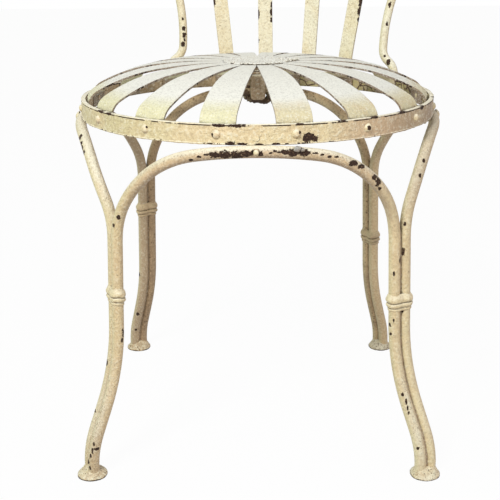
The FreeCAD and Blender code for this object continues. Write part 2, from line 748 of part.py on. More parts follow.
def slat_line(turn, crossing):
    """Edges of a slat's middle line: along the ring, a short bend, a long bow, the lap on the hoop."""
    hole = around(turn, slat_reach, ring_middle_height)
    behind = crossing + hoop_rear * (hoop_radius + clearance + slat_thickness / 2)
    leaning = (behind - hole).normalize()
    flat = (leaning - outward(turn) * leaning.dot(outward(turn))).normalize()
    lower = hole - flat * ((size("ring_height") / 2 - size("hoop_end_inset")) / flat.z)
    bend = hole + flat * ((size("ring_height") / 2 + size("slat_straight")) / flat.z)
    turned = flat.getAngle(leaning)
    rise = 2 * size("slat_bend_radius") * math.sin(turned / 2)
    risen = bend + (flat + leaning).normalize() * rise
    heading = (behind - risen).normalize()
    arrival = (heading - hoop_rear * heading.dot(hoop_rear)).normalize()
    edges = [straight(lower, bend), tangent_arc(bend, flat, risen)]
    edges += biarc(risen, leaning, behind, arrival)
    edges.append(straight(behind, behind + arrival * size("slat_lap")))
    return edges


def slat_section(point, heading, depth_hint):
    """A slat's section across heading, with its thickness nearest to depth_hint."""
    depth = depth_hint - heading * depth_hint.dot(heading)
    depth.normalize()
    across = heading.cross(depth) * (size("slat_width") / 2)
    depth = depth * (slat_thickness / 2)
    corners = [point - across - depth, point + across - depth, point + across + depth,
               point - across + depth]
    return Part.makePolygon(corners + corners[:1])


# Where along each edge of a slat's middle line its sections stand

SLAT_STATIONS = ((0.0, 0.5, 1.0), (0.5, 1.0), (0.33, 0.67, 1.0), (0.33, 0.67, 1.0), (0.5, 1.0))


def make_slat(number, turn, crossing):
    """One slat, lofted through sections that turn from the ring's side to the hoop's plane."""
    name = f"back_slat_{number}"
    stations = []
    for edge, shares in zip(slat_line(turn, crossing), SLAT_STATIONS):
        first, last = edge.ParameterRange
        for share in shares:
            along = first + (last - first) * share
            stations.append((edge.valueAt(along), edge.tangentAt(along)))
    low = stations[2][0].z
    high = stations[-3][0].z
    sections = []
    for point, heading in stations:
        if heading.z < 0:
            heading = heading * -1
        share = min(max((point.z - low) / (high - low), 0.0), 1.0)
        ease = share * share * (3 - 2 * share)
        sections.append(slat_section(point, heading, outward(turn) * (1 - ease) + hoop_rear * ease))
    bar = add_feature(f"{name}_bar", Part.makeLoft(sections, True, False))
    holes = [(around(turn, slat_reach, ring_middle_height), outward(turn), 4 * slat_thickness, RIVET_HOLE),
             (crossing + hoop_rear * (hoop_radius + slat_thickness / 2), hoop_rear, 3 * slat_thickness,
              RIVET_HOLE)]
    return finish(drilled(bar, name, holes), name)


def make_hoop():
    """The hoop, drilled at both ends and for the four slats."""
    rod = add_feature("hoop_rod", swept_rod(hoop_edges[1] + hoop_edges[-1], hoop_radius))
    holes = []
    for side in (-1, 1):
        turn = back_turn + side * hoop_end_turn
        holes.append((around(turn, hoop_reach, ring_middle_height), outward(turn), 4 * hoop_radius,
                      RIVET_HOLE))
        holes.append(spot_face(turn, hoop_reach, ring_middle_height, hoop_radius, "rivet_head"))
    for turn, crossing in SLATS:
        front = crossing - hoop_rear * (2 * hoop_radius - size("spot_face_depth"))
        holes.append((crossing, hoop_rear, 4 * hoop_radius, RIVET_HOLE))
        holes.append((front, hoop_rear, 2 * hoop_radius, "Sizes.rivet_head_radius + Sizes.clearance"))
    return finish(drilled(rod, "back_hoop", holes), "back_hoop")


def make_rivets():
    """All rivets, in groups of one kind."""
    petal_inside = petal_outer_radius - petal_thickness
    slat_outside = slat_reach + slat_thickness / 2
    hoop_outside = hoop_reach + hoop_radius - size("spot_face_depth")
    crown_outside = crown_reach + rod_radius - size("spot_face_depth")
    back_steps = {int(size("hoop_end_petals")): hoop_outside, int(size("outer_slat_petals")): slat_outside}
    outer_reach = {}
    for steps, reach in back_steps.items():
        for side in (-1, 1):
            outer_reach[(side * steps) % petal_count] = reach
    seat_rivets = []
    back_rivets = []
    for step in range(petal_count):
        turn = back_turn + step * petal_pitch
        outside = outer_reach.get(step, ring_outer_radius)
        group = back_rivets if step in outer_reach else seat_rivets
        group.append(inward_rivet(turn, ring_middle_height, outside, petal_inside))
    rivet_group("petal_rivets", seat_rivets)
    rivet_group("back_rivets", back_rivets)
    inner_turns = [back_turn + side * slat_turns["inner"] for side in (-1, 1)]
    rivet_group("slat_rivets", [inward_rivet(turn, ring_middle_height, slat_outside, ring_inner_radius)
                                for turn in inner_turns])
    rivet_group("plate_rivets", [inward_rivet(turn, plate_hole_height, ring_outer_radius,
                                              plate_inner_reach, flush_head)
                                 for turn in ARCH_TURNS.values()])
    for name, head, ends in (("crown_rivets", round_head, ("front", "rear")),
                             ("side_rivets", side_head, ("left", "right"))):
        rivet_group(name, [inward_rivet(ARCH_TURNS[end], crown_height, crown_outside, plate_inner_reach,
                                        head) for end in ends])
    front = hoop_radius - size("spot_face_depth") + clearance
    grip = front + hoop_radius + slat_thickness + 2 * clearance
    rivet_group("hoop_rivets", [rivet(crossing - hoop_rear * front, hoop_rear, grip, rivet_shank,
                                      round_head, closed_tail) for turn, crossing in SLATS])


make_seat_ring()
for petal_number in range(1, petal_count + 1):
    make_petal(petal_number)
make_disc("hub_cap", "hub_cap_radius", "hub_cap_thickness", hub_cap_height)
make_disc("hub_disc", "hub_disc_radius", "hub_disc_thickness", hub_disc_height)
hub_top = hub_cap_height + size("hub_cap_thickness") + clearance
hub_grip = hub_top - hub_disc_height + clearance
hub_head = (size("hub_rivet_head_radius"), size("hub_rivet_head_height"))
hub_solid = rivet(Vector(0, 0, hub_top), UP * -1, hub_grip, size("hub_rivet_radius"), hub_head, hub_head)
finish(add_feature("hub_rivet", hub_solid), "hub_rivet")
for arch_name, arch_turn in ARCH_TURNS.items():
    make_arch(arch_name, arch_turn)
    make_plate(arch_name, arch_turn)
for leg_name, leg_turn in LEG_TURNS.items():
    make_collar(leg_name, leg_turn)
    make_foot(leg_name, leg_turn)
make_hoop()
for slat_number, (slat_turn, slat_crossing) in enumerate(SLATS, 1):
    make_slat(slat_number, slat_turn, slat_crossing)
make_rivets()
document.recompute()

# Checks, then one file for each sub-part, moved so that the whole box is centred over the origin

whole = FreeCAD.BoundBox()
for part in parts:
    shape = part.Shape
    if "Invalid" in part.State or "Error" in part.State or shape.isNull() or not shape.isValid():
        raise RuntimeError(f"{part.Label} did not build")
    if not shape.Solids or min(solid.Volume for solid in shape.Solids) <= 0:
        raise RuntimeError(f"{part.Label} is not solid")
    whole.add(shape.optimalBoundingBox(False, False))
shift = Vector(-whole.Center.x, -whole.Center.y, -whole.ZMin)
os.makedirs("parts", exist_ok=True)
for part in parts:
    shape = part.Shape.copy()
    shape.translate(shift)
    shape.exportStep(f"parts/{part.Label}.step")
print("parts", len(parts), "box", whole.XLength, whole.YLength, whole.ZLength, "shift", shift)
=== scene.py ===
"""Looks of the metal bistro chair: thick old cream paint, chipped down to rusty steel.

Metres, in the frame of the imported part: +Z is up and +Y points to the back of the chair.
Places on the chair are written in millimetres from the floor under the middle of the seat ring,
and a turn is counted in degrees from the middle of the back towards +X.
"""

import json
import logging
import math
from dataclasses import dataclass, replace
from enum import Enum
from fnmatch import fnmatch
from functools import cached_property
from typing import Iterable, Sequence

import bpy
import numpy as np
from mathutils import Matrix, Vector

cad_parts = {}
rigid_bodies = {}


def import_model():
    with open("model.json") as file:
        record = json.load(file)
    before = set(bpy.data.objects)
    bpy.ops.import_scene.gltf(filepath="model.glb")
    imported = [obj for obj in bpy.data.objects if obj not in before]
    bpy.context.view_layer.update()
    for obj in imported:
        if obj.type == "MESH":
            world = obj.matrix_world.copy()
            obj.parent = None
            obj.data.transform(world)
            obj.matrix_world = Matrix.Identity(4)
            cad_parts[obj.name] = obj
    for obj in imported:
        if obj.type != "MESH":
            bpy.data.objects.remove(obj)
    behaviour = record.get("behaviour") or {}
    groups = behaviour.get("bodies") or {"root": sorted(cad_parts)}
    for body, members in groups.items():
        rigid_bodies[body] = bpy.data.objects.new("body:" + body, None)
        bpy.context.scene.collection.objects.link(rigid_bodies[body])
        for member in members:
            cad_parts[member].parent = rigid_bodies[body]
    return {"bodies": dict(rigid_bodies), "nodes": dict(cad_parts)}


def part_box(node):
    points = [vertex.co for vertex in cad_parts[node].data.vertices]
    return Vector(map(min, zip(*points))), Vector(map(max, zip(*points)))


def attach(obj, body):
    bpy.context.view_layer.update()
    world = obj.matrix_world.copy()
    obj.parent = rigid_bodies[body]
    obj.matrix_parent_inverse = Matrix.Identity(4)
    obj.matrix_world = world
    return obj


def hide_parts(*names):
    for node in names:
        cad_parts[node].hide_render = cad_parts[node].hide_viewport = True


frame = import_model()

LOG = logging.getLogger("bistro_chair")
BODY = next(iter(frame["bodies"]))
MM = 0.001
IMAGE_SIDE = 500
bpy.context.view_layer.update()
RING_LOW, RING_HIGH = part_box("seat_ring")
SEAT_CENTRE = Vector(((RING_LOW.x + RING_HIGH.x) / 2, (RING_LOW.y + RING_HIGH.y) / 2, 0.0))
RING_RADIUS = 202.0
RING_TOP = 393.0
RING_BOTTOM = 373.0
PETAL_COUNT = 16
ROD_RADIUS = 6.25
CROWN_HEIGHT = 366.6
UP = np.array([0.0, 0.0, 1.0])


def at(x: float, y: float, z: float) -> tuple[float, float, float]:
    """A place given in millimetres from the floor under the ring's middle, in metres."""
    return (SEAT_CENTRE.x + x * MM, SEAT_CENTRE.y + y * MM, z * MM)


def srgb(red: int, green: int, blue: int) -> tuple[float, float, float, float]:
    """A colour as a paint card gives it, made linear.

    Args:
        red, green, blue: 0 to 255.

    Returns:
        Linear red, green, blue and an alpha of 1.
    """
    shares = [value / 255.0 for value in (red, green, blue)]
    linear = [s / 12.92 if s <= 0.04045 else ((s + 0.055) / 1.055) ** 2.4 for s in shares]
    return (linear[0], linear[1], linear[2], 1.0)


class Tone(Enum):
    """Named colours of the paint and of what lies under it."""

    CREAM = (232, 214, 170)
    WARM = (221, 194, 150)
    PINKISH = (214, 184, 148)
    OLIVE = (214, 200, 152)
    PALE = (243, 243, 233)
    BONE = (228, 226, 214)
    IVORY = (241, 235, 206)
    # Also the lit tone: painted light on faces that look up
    LIGHT = (250, 245, 222)
    SHADED = (187, 164, 131)
    EARTH = (160, 134, 106)
    UMBER = (128, 102, 74)
    # Dark grime, also used as the painted shade of corners
    GRIME_AND_SHADE = (84, 64, 44)
    RUST = (50, 31, 20)
    MOSS = (222, 218, 168)
    LICHEN = (168, 160, 104)
    OCHRE = (198, 160, 104)
    GREY = (178, 176, 168)

    @property
    def linear(self) -> tuple[float, float, float, float]:
        """The colour, linear, for a socket."""
        return srgb(*self.value)


# Node helpers

class Signal:
    """A number, colour or vector that varies over a surface, with sums on it as operators."""

    def __init__(self, sheet: "NodeSheet", socket: bpy.types.NodeSocket) -> None:
        """Wraps an output socket of a node on that sheet."""
        self.sheet = sheet
        self.socket = socket

    def __add__(self, other: "Signal | float") -> "Signal":
        """Both together."""
        return self.sheet.math("ADD", self, other)

    def __sub__(self, other: "Signal | float") -> "Signal":
        """This less the other."""
        return self.sheet.math("SUBTRACT", self, other)

    def __mul__(self, other: "Signal | float") -> "Signal":
        """This times the other."""
        return self.sheet.math("MULTIPLY", self, other)

    def __or__(self, other: "Signal") -> "Signal":
        """The larger of the two, which joins two masks."""
        return self.sheet.math("MAXIMUM", self, other)

    def ramp(self, low: float, high: float, to_low: float = 0.0, to_high: float = 1.0) -> "Signal":
        """This carried smoothly from the range low..high to the range to_low..to_high."""
        return self.sheet.add("MapRange", {"interpolation_type": "SMOOTHSTEP"}, Value=self,
                              From_Min=low, From_Max=high, To_Min=to_low, To_Max=to_high)["Result"]


class NodeSheet:
    """Adds nodes to a tree and links them, with plain values on what isn't linked."""

    def __init__(self, tree: bpy.types.NodeTree) -> None:
        """Works on that tree and empties it."""
        self.tree = tree
        tree.nodes.clear()

    def add(self, kind: str | bpy.types.NodeTree, settings: dict | None = None,
            **inputs) -> dict[str, Signal]:
        """Adds a node, or one use of a group.

        Args:
            kind: the node type without the "ShaderNode" before it, or the group.
            settings: properties of the node itself.
            inputs: what feeds its inputs; spaces in names are underscores.

        Returns:
            The node's outputs by name.
        """
        node = self.tree.nodes.new(f"ShaderNode{kind if isinstance(kind, str) else 'Group'}")
        if not isinstance(kind, str):
            node.node_tree = kind
        for name, value in (settings or {}).items():
            setattr(node, name, value)
        for name, value in inputs.items():
            self.feed(node, name.replace("_", " "), value)
        return {output.name: Signal(self, output) for output in node.outputs}

    def feed(self, node: bpy.types.Node, name: str | int, value) -> None:
        """Links a signal to one input, or gives the input a value or a tone."""
        socket = node.inputs[name]
        if isinstance(value, Signal):
            self.tree.links.new(value.socket, socket)
        else:
            socket.default_value = value.linear if isinstance(value, Tone) else value

    def math(self, operation: str, first, second=0.0) -> Signal:
        """One sum on two numbers or signals."""
        node = self.tree.nodes.new("ShaderNodeMath")
        node.operation = operation
        self.feed(node, 0, first)
        self.feed(node, 1, second)
        return Signal(self, node.outputs[0])

    def vector(self, operation: str, first, second=(0.0, 0.0, 0.0), scale=1.0) -> Signal:
        """One sum on vectors; a length or a dot product is a number."""
        node = self.tree.nodes.new("ShaderNodeVectorMath")
        node.operation = operation
        for number, value in ((0, first), (1, second), (3, scale)):
            self.feed(node, number, value)
        is_number = operation in ("LENGTH", "DOT_PRODUCT")
        return Signal(self, node.outputs["Value" if is_number else "Vector"])

    def mix(self, share: Signal, first, second) -> Signal:
        """The first colour turned to the second by that share."""
        node = self.tree.nodes.new("ShaderNodeMix")
        node.data_type = "RGBA"
        node.clamp_factor = True
        for number, value in ((0, share), (6, first), (7, second)):
            self.feed(node, number, value)
        return Signal(self, node.outputs[2])

    def noise(self, place: Signal, scale: Signal | float, detail: float = 3.0, rough: float = 0.7,
              warp: float = 0.0) -> Signal:
        """Soft noise from 0 to 1 at that many lumps a metre."""
        return self.add("TexNoise", Vector=place, Scale=scale, Detail=detail, Roughness=rough,
                        Distortion=warp)["Fac"]

    def warped(self, place: Signal, bend: Signal, way: tuple[float, float, float]) -> Signal:
        """The place pushed along a way by a signal."""
        return self.vector("ADD", place, self.vector("SCALE", way, scale=bend))


class GroupSheet(NodeSheet):
    """The sheet of a new shader node group."""

    def __init__(self, name: str, **inputs: str | float) -> None:
        """Makes the group.

        Args:
            name: its name.
            inputs: the default of each number, or Vector or Color for an input of that kind.
        """
        super().__init__(bpy.data.node_groups.new(name, "ShaderNodeTree"))
        for label, default in inputs.items():
            kind = default if isinstance(default, str) else "Float"
            socket = self._socket(label.replace("_", " "), "INPUT", kind)
            if kind == "Float":
                socket.default_value = default
        node = self.tree.nodes.new("NodeGroupInput")
        self.given = {output.name: Signal(self, output) for output in node.outputs}

    def _socket(self, label: str, side: str, kind: str) -> bpy.types.NodeTreeInterfaceSocket:
        """A new input or output of the group."""
        return self.tree.interface.new_socket(label, in_out=side, socket_type=f"NodeSocket{kind}")

    def giving(self, **results: Signal) -> bpy.types.NodeTree:
        """The finished group, with an output for each result: Color is a colour, others numbers."""
        for label in results:
            self._socket(label, "OUTPUT", "Color" if label == "Color" else "Float")
        node = self.tree.nodes.new("NodeGroupOutput")
        for label, value in results.items():
            self.feed(node, label, value)
        return self.tree


class PaintGroups:
    """The effects that the paints share, each built once, when it is first used."""

    @cached_property
    def cracks(self) -> bpy.types.NodeTree:
        """Cracks between sheets of dry paint: thin lines where the cells of a warped pattern meet."""
        sheet = GroupSheet("paint_cracks", Place="Vector")
        place = sheet.given["Place"]
        warped = sheet.warped(place, sheet.noise(place, 130.0, 3.0, 0.6) * 0.009, (1.0, 0.7, -1.0))
        cells = sheet.add("TexVoronoi", {"feature": "DISTANCE_TO_EDGE"}, Vector=warped, Scale=85.0)
        return sheet.giving(Mask=cells["Distance"].ramp(0.075, 0.03))

    @cached_property
    def stipple(self) -> bpy.types.NodeTree:
        """Orange peel of brushed thick paint.

        The height is coarse lumps, half as much of finer ones and a slow swell. The valleys are
        where the coarse and the finer lumps together fall low, and the crests where they rise.
        """
        sheet = GroupSheet("stippled_paint", Place="Vector", Coarse=300.0)
        place, coarse = sheet.given["Place"], sheet.given["Coarse"]
        both = (sheet.noise(place, coarse, 2.0, 0.6, 0.3)
                + sheet.noise(place, coarse * 2.3, 2.0, 0.6) * 0.5)
        return sheet.giving(Height=both + sheet.noise(place, 90.0, 2.0, 0.5) * 1.2,
                            Valley=both.ramp(0.73, 0.58), Crest=both.ramp(0.76, 0.92))

    @cached_property
    def pinholes(self) -> bpy.types.NodeTree:
        """Small brown holes in the paint.

        Each cell of a warped cell pattern has one point. Its hole is where the distance to that
        point is under a radius that the cell's own random number gives, so most cells have none.
        """
        sheet = GroupSheet("paint_pinholes", Place="Vector", Scale=260.0, Share=0.3)
        place = sheet.given["Place"]
        warped = sheet.warped(place, sheet.noise(place, 420.0, 2.0, 0.6) * 0.0012, (1.0, 0.6, -1.0))
        cells = sheet.add("TexVoronoi", Vector=warped, Scale=sheet.given["Scale"])
        number = sheet.add("SeparateColor", Color=cells["Color"])["Red"]
        radius = (sheet.given["Share"] - number + 0.12) * 0.85
        return sheet.giving(Mask=(radius - cells["Distance"]).ramp(0.0, 0.09))

    @cached_property
    def mottle(self) -> bpy.types.NodeTree:
        """Patchy colour: the base wanders to a warmer tone, and faces change as they look.

        Faces that look up get painted light from above and faces that look down painted shade: the
        share of each tone grows with the height of the surface's normal, broken up by noise. Faces to
        the chair's right are a little pinker, and faces to its left a little greener: a painted tint
        of light. The specks lie where the painted light from above ends.
        """
        sheet = GroupSheet("mottled_paint", Place="Vector", Up=0.0, Right=0.0, Tint=0.5,
                           Base="Color", Bleached="Color", Warm="Color", Under="Color",
                           Bleaching=0.8, Staining=0.5, Patches=0.7)
        given = sheet.given
        warmth = sheet.noise(given["Place"], 24.0, 3.0, 0.6).ramp(0.42, 0.66) * given["Patches"]
        colour = sheet.mix(warmth, given["Base"], given["Warm"])
        lifted = given["Up"] + (sheet.noise(given["Place"], 90.0, 3.0, 0.65) - 0.5) * 0.6
        # Painted light from above on faces that look up
        lit_share = lifted.ramp(0.0, 0.8) * given["Bleaching"]
        colour = sheet.mix(lit_share, colour, given["Bleached"])
        # Painted tint of light: pinker on faces to the right, greener on faces to the left
        for tone, low, high in ((Tone.PINKISH, 0.25, 0.95), (Tone.MOSS, -0.15, -0.9)):
            colour = sheet.mix(given["Right"].ramp(low, high) * given["Tint"], colour, tone)
        # Painted shade on faces that look down
        shaded_share = lifted.ramp(-0.05, -0.8) * given["Staining"]
        fine = sheet.noise(given["Place"], 520.0).ramp(0.53, 0.62)
        border = lifted.ramp(0.15, 0.4) * lifted.ramp(0.75, 0.5)
        return sheet.giving(Color=sheet.mix(shaded_share, colour, given["Under"]), Specks=fine * border)

    @cached_property
    def flakes(self) -> bpy.types.NodeTree:
        """Where the paint has come off by itself.

        Noise is compared with a threshold that drops on worn edges, so flakes are rare on open
        faces and frequent along edges.
        """
        sheet = GroupSheet("flaking", Place="Vector", Edge=0.0, Amount=0.2, Edge_Amount=0.5)
        given = sheet.given
        broad = sheet.noise(given["Place"], 42.0, 2.0, 0.6)
        ragged = sheet.noise(given["Place"], 260.0)
        push = given["Edge"] * given["Edge Amount"] + given["Amount"]
        return sheet.giving(Mask=(broad * 0.62 + ragged * 0.38 + push).ramp(0.80, 0.815))

    @cached_property
    def spot(self) -> bpy.types.NodeTree:
        """One flake at a given place.

        The distance from the centre, each axis in units of its radius, is roughened by noise and
        is inside the flake where it falls under one.
        """
        sheet = GroupSheet("flake_spot", Place="Vector", Ragged=0.5, Centre="Vector",
                           Radii="Vector")
        given = sheet.given
        away = sheet.vector("SUBTRACT", given["Place"], given["Centre"])
        reach = sheet.vector("LENGTH", sheet.vector("DIVIDE", away, given["Radii"]))
        return sheet.giving(Mask=(reach + (given["Ragged"] - 0.5) * 2.3).ramp(1.0, 0.9))

    @cached_property
    def whereabouts(self) -> bpy.types.NodeTree:
        """Where on the chair a point is, in millimetres, and how its face looks.

        Radius is the level distance from the seat's axis, Across the distance to the chair's
        right, Back the distance to its back and Height that over the floor. Up and Right are
        parts of the normal, Flat is how level the face is, Inward how squarely it looks at the
        axis, and Petal a random number, the same all over one sixteenth of the round.
        """
        sheet = GroupSheet("whereabouts", Place="Vector", Normal="Vector")
        normal = sheet.given["Normal"]
        away = sheet.vector("SUBTRACT", sheet.given["Place"], tuple(SEAT_CENTRE))
        away = sheet.vector("SCALE", away, scale=1.0 / MM)
        level = sheet.vector("MULTIPLY", away, (1.0, 1.0, 0.0))
        inward = sheet.vector("DOT_PRODUCT", sheet.vector("NORMALIZE", level), normal) * -1.0
        parts = sheet.add("SeparateXYZ", Vector=away)
        facing = sheet.add("SeparateXYZ", Vector=normal)
        turn = sheet.math("ARCTAN2", parts["X"], parts["Y"])
        petal = sheet.math("FLOOR", turn * (PETAL_COUNT / math.tau))
        luck = sheet.add("TexWhiteNoise", {"noise_dimensions": "1D"}, W=petal)["Value"]
        return sheet.giving(Radius=sheet.vector("LENGTH", level), Across=parts["X"],
                            Back=parts["Y"], Height=parts["Z"], Up=facing["Z"],
                            Right=facing["X"], Flat=sheet.math("ABSOLUTE", facing["Z"]),
                            Inward=inward, Petal=luck)


@dataclass(frozen=True)
class Drift:
    """A change to another tone.

    It starts and ends at values of what it goes along, which is an output of the whereabouts
    group, and turns the given share of the colour.
    """

    tone: Tone
    start: float
    end: float
    share: float = 1.0
    along: str = "Across"


# In millimetres: where the rim is mossy, how far each way its scorching grows, how wide the painted
# shade inside the ring fades, where a petal bends to the ring, and how high the rust on its end starts
RIM_AT_LEFT = Drift(Tone.MOSS, 25.0, -50.0)
SCORCH_REACH = 60.0
INSIDE_FADE = 40.0
PETAL_BEND = (186.0, 180.0)
RUST_HEIGHTS = (RING_TOP - 3.0, RING_TOP - 1.0)


@dataclass(frozen=True)
class PaintFinish:
    """Old paint on one kind of piece.

    Each flake is its middle in millimetres from the seat's axis, and its three radii. An edge
    line is where paint breaks off along an edge: its lowest and highest place, and how rare the
    breaks are. The painted shade inside the ring fades at a line across, by default past the chair.
    The lit tone is painted light on faces that look up and on the stipple's crests, and the under
    tone is painted shade on faces that look down. Painted shade is also the valley tone in the
    stipple's valleys, the depth change towards the back, the inside change on faces that look at
    the seat's axis, and the sides change on steep faces. The tint is painted light: pinker on faces
    to the right and greener on faces to the left.
    """

    name: str
    slot: str
    base: Tone = Tone.CREAM
    lit_tone: Tone = Tone.LIGHT
    warm: Tone = Tone.WARM
    under: Tone = Tone.EARTH
    light_from_above: float = 0.8
    shade_below: float = 0.55
    patches: float = 0.6
    stipple_scale: float = 300.0
    stipple_depth: float = 0.0009
    valley: float = 0.3
    crest: float = 0.35
    specks: float = 0.0
    pinhole_scale: float = 300.0
    pinhole_share: float = 0.22
    pinholes: float = 0.75
    flaking: float = 0.0
    edge_flaking: float = 0.16
    # How much grime and painted shade darken corners, and how far the corners reach
    grime_and_shade_amount: float = 0.85
    grime_and_shade_reach: float = 0.006
    valley_tone: Tone = Tone.EARTH
    tint: float = 0.45
    # Painted shade towards the back, under the seat, on the base, lit and warm tones
    depth: Drift | None = None
    drifts: tuple[Drift, ...] = ()
    # Painted shade on faces that look at the seat's axis
    inside: Drift | None = None
    inside_fades_at: float = 900.0
    petal_change: float = 0.0
    rim: Drift | None = None
    # Painted shade on steep faces
    sides: Drift | None = None
    side_chips: float = 0.0
    crackle: Drift | None = None
    rust_line: tuple[float, float] | None = None
    edge_lines: tuple[tuple[float, float, float], ...] = ()
    flakes: tuple[tuple[float, ...], ...] = ()


class PaintCoat:
    """One finish as a material that reads Object coordinates only."""

    EDGE_WIDTH = 0.0011
    PIT_TONE = Tone.UMBER

    def __init__(self, finish: PaintFinish, groups: PaintGroups) -> None:
        """Starts the material: its sheet, and where each point of the surface is."""
        self.finish = finish
        self.groups = groups
        self.material = bpy.data.materials.new(finish.name)
        self.material.use_nodes = True
        self.sheet = NodeSheet(self.material.node_tree)
        self.place = self.sheet.add("TexCoord")["Object"]
        self.normal = self.sheet.add("NewGeometry")["Normal"]
        self.rounded = self.sheet.add("Bevel", {"samples": 4}, Radius=self.EDGE_WIDTH)["Normal"]
        self.where = self.sheet.add(groups.whereabouts, Place=self.place, Normal=self.normal)

    def paint(self) -> bpy.types.Material:
        """Lays the tones over each other, from the base to the bare steel, and bumps them.

        Returns:
            The finished material.
        """
        finish, sheet, where = self.finish, self.sheet, self.where
        stipple = sheet.add(self.groups.stipple, Place=self.place, Coarse=finish.stipple_scale)
        holes = sheet.add(self.groups.pinholes, Place=self.place, Scale=finish.pinhole_scale,
                          Share=finish.pinhole_share)
        pits = holes["Mask"] * finish.pinholes
        # The lit and warm tones also take the painted shade towards the back
        mottle = sheet.add(self.groups.mottle, Place=self.place, Up=where["Up"],
                           Right=where["Right"], Tint=finish.tint, Base=self.base(),
                           Bleached=self.turned(finish.lit_tone, finish.depth),
                           Warm=self.turned(finish.warm, finish.depth), Under=finish.under,
                           Bleaching=finish.light_from_above, Staining=finish.shade_below,
                           Patches=finish.patches)
        colour = self.rimmed(mottle["Color"])
        # Painted shade on steep faces
        colour = self.turned(colour, finish.sides)
        # Crests of the stipple take the lit tone as painted highlights, and its valleys the valley tone as
        # painted shade
        for share, tone in ((stipple["Crest"] * finish.crest, finish.lit_tone),
                            (mottle["Specks"] * finish.specks, self.PIT_TONE),
                            (stipple["Valley"] * finish.valley, finish.valley_tone),
                            (pits, self.PIT_TONE), (self.grime_and_shade(), Tone.GRIME_AND_SHADE)):
            colour = sheet.mix(share, colour, tone)
        bare = self.bare()
        rust = sheet.noise(self.place, 500.0).ramp(0.5, 0.8)
        colour = sheet.mix(bare, self.crackled(colour), sheet.mix(rust, Tone.RUST, Tone.UMBER))
        height = stipple["Height"] * 0.6 - bare * 0.8 - pits * 0.35
        bump = sheet.add("Bump", Strength=1.0, Distance=finish.stipple_depth, Height=height,
                         Normal=self.rounded)
        shader = sheet.add("BsdfPrincipled", Base_Color=colour, Specular_IOR_Level=0.35,
                           Roughness=bare.ramp(0.0, 1.0, 0.5, 0.85), Normal=bump["Normal"])
        sheet.add("OutputMaterial", Surface=shader["BSDF"])
        return self.material

    def amount(self, drift: Drift) -> Signal:
        """How far a drift has gone."""
        return self.where[drift.along].ramp(drift.start, drift.end, 0.0, drift.share)

    def turned(self, colour: Signal | Tone, drift: Drift | None) -> Signal | Tone:
        """A colour after a drift, if there is one."""
        return self.sheet.mix(self.amount(drift), colour, drift.tone) if drift else colour

    def base(self) -> Signal | Tone:
        """The base as it changes over the chair, inside the ring and from petal to petal.

        The painted shade inside the ring mostly fades away to the right of a line.
        """
        finish, sheet = self.finish, self.sheet
        # Painted shade towards the back
        colour = self.turned(finish.base, finish.depth)
        for drift in finish.drifts:
            colour = self.turned(colour, drift)
        if finish.inside:
            # Painted shade on faces that look at the seat's axis, fading to the right
            line = finish.inside_fades_at
            fade = self.where["Across"].ramp(line, line + INSIDE_FADE, 1.0, 0.2)
            colour = sheet.mix(self.amount(finish.inside) * fade, colour, finish.inside.tone)
        if finish.petal_change:
            colour = sheet.mix(self.where["Petal"] * finish.petal_change, colour, finish.warm)
        return colour

    def rimmed(self, colour: Signal) -> Signal:
        """The colour with the petals' outer ends in the rim's tone, mossy at the left, scorched
        in patches at the right.
        """
        rim = self.finish.rim
        if not rim:
            return colour
        colour = self.sheet.mix(self.amount(rim), colour, self.turned(rim.tone, RIM_AT_LEFT))
        patches = self.sheet.noise(self.place, 62.0, 4.0).ramp(0.46, 0.66)
        scorched = patches * self.where["Across"].ramp(-SCORCH_REACH, SCORCH_REACH, 0.08, 0.4)
        return self.sheet.mix(self.amount(rim) * scorched, colour, Tone.OCHRE)

    def crackled(self, colour: Signal) -> Signal:
        """The colour with cracked and mossy paint on faces that look at the seat's axis."""
        crackle = self.finish.crackle
        if not crackle:
            return colour
        share = self.where["Inward"].ramp(0.3, 0.8) * self.where[crackle.along].ramp(
            crackle.start, crackle.end)
        mossy = self.sheet.noise(self.place, 70.0, 3.0, 0.6).ramp(0.35, 0.6, 0.35, 1.0)
        colour = self.sheet.mix(share * mossy * crackle.share, colour, crackle.tone)
        cracks = self.sheet.add(self.groups.cracks, Place=self.place)["Mask"]
        return self.sheet.mix(share * cracks, colour, Tone.GRIME_AND_SHADE)

    def bare(self) -> Signal:
        """Where the steel shows: worn edges, flakes at given places, chipped sides of petals,
        the petals' ends on the ring, and broken lines along edges.
        """
        finish, where = self.finish, self.where
        edge = self.sheet.vector("DOT_PRODUCT", self.rounded, self.normal).ramp(0.995, 0.90)
        bare = self.sheet.add(self.groups.flakes, Place=self.place, Edge=edge,
                              Amount=finish.flaking, Edge_Amount=finish.edge_flaking)["Mask"]
        if finish.flakes:
            ragged = self.sheet.noise(self.place, 330.0, 3.0, 0.75)
        for x, y, z, *radii in finish.flakes:
            spot = self.sheet.add(self.groups.spot, Place=self.place, Ragged=ragged,
                                  Centre=at(x, y, z), Radii=[radius * MM for radius in radii])
            bare = bare | spot["Mask"]
        if finish.side_chips:
            steep = where["Flat"].ramp(0.5, 0.4) * where["Radius"].ramp(*PETAL_BEND)
            bare = bare | steep * self.breaks(90.0, 0.7, finish.side_chips)
        if finish.rust_line:
            broken = self.sheet.noise(self.place, 240.0).ramp(0.44, 0.56)
            high = where["Height"].ramp(*RUST_HEIGHTS)
            bare = bare | where["Radius"].ramp(*finish.rust_line) * high * broken
        for low, high, rarity in finish.edge_lines:
            middle = (low + high) / 2
            near = where["Height"].ramp(low, middle) * where["Height"].ramp(high, middle)
            bare = bare | (near * self.breaks(75.0, 0.75, rarity)).ramp(0.25, 0.4)
        return bare

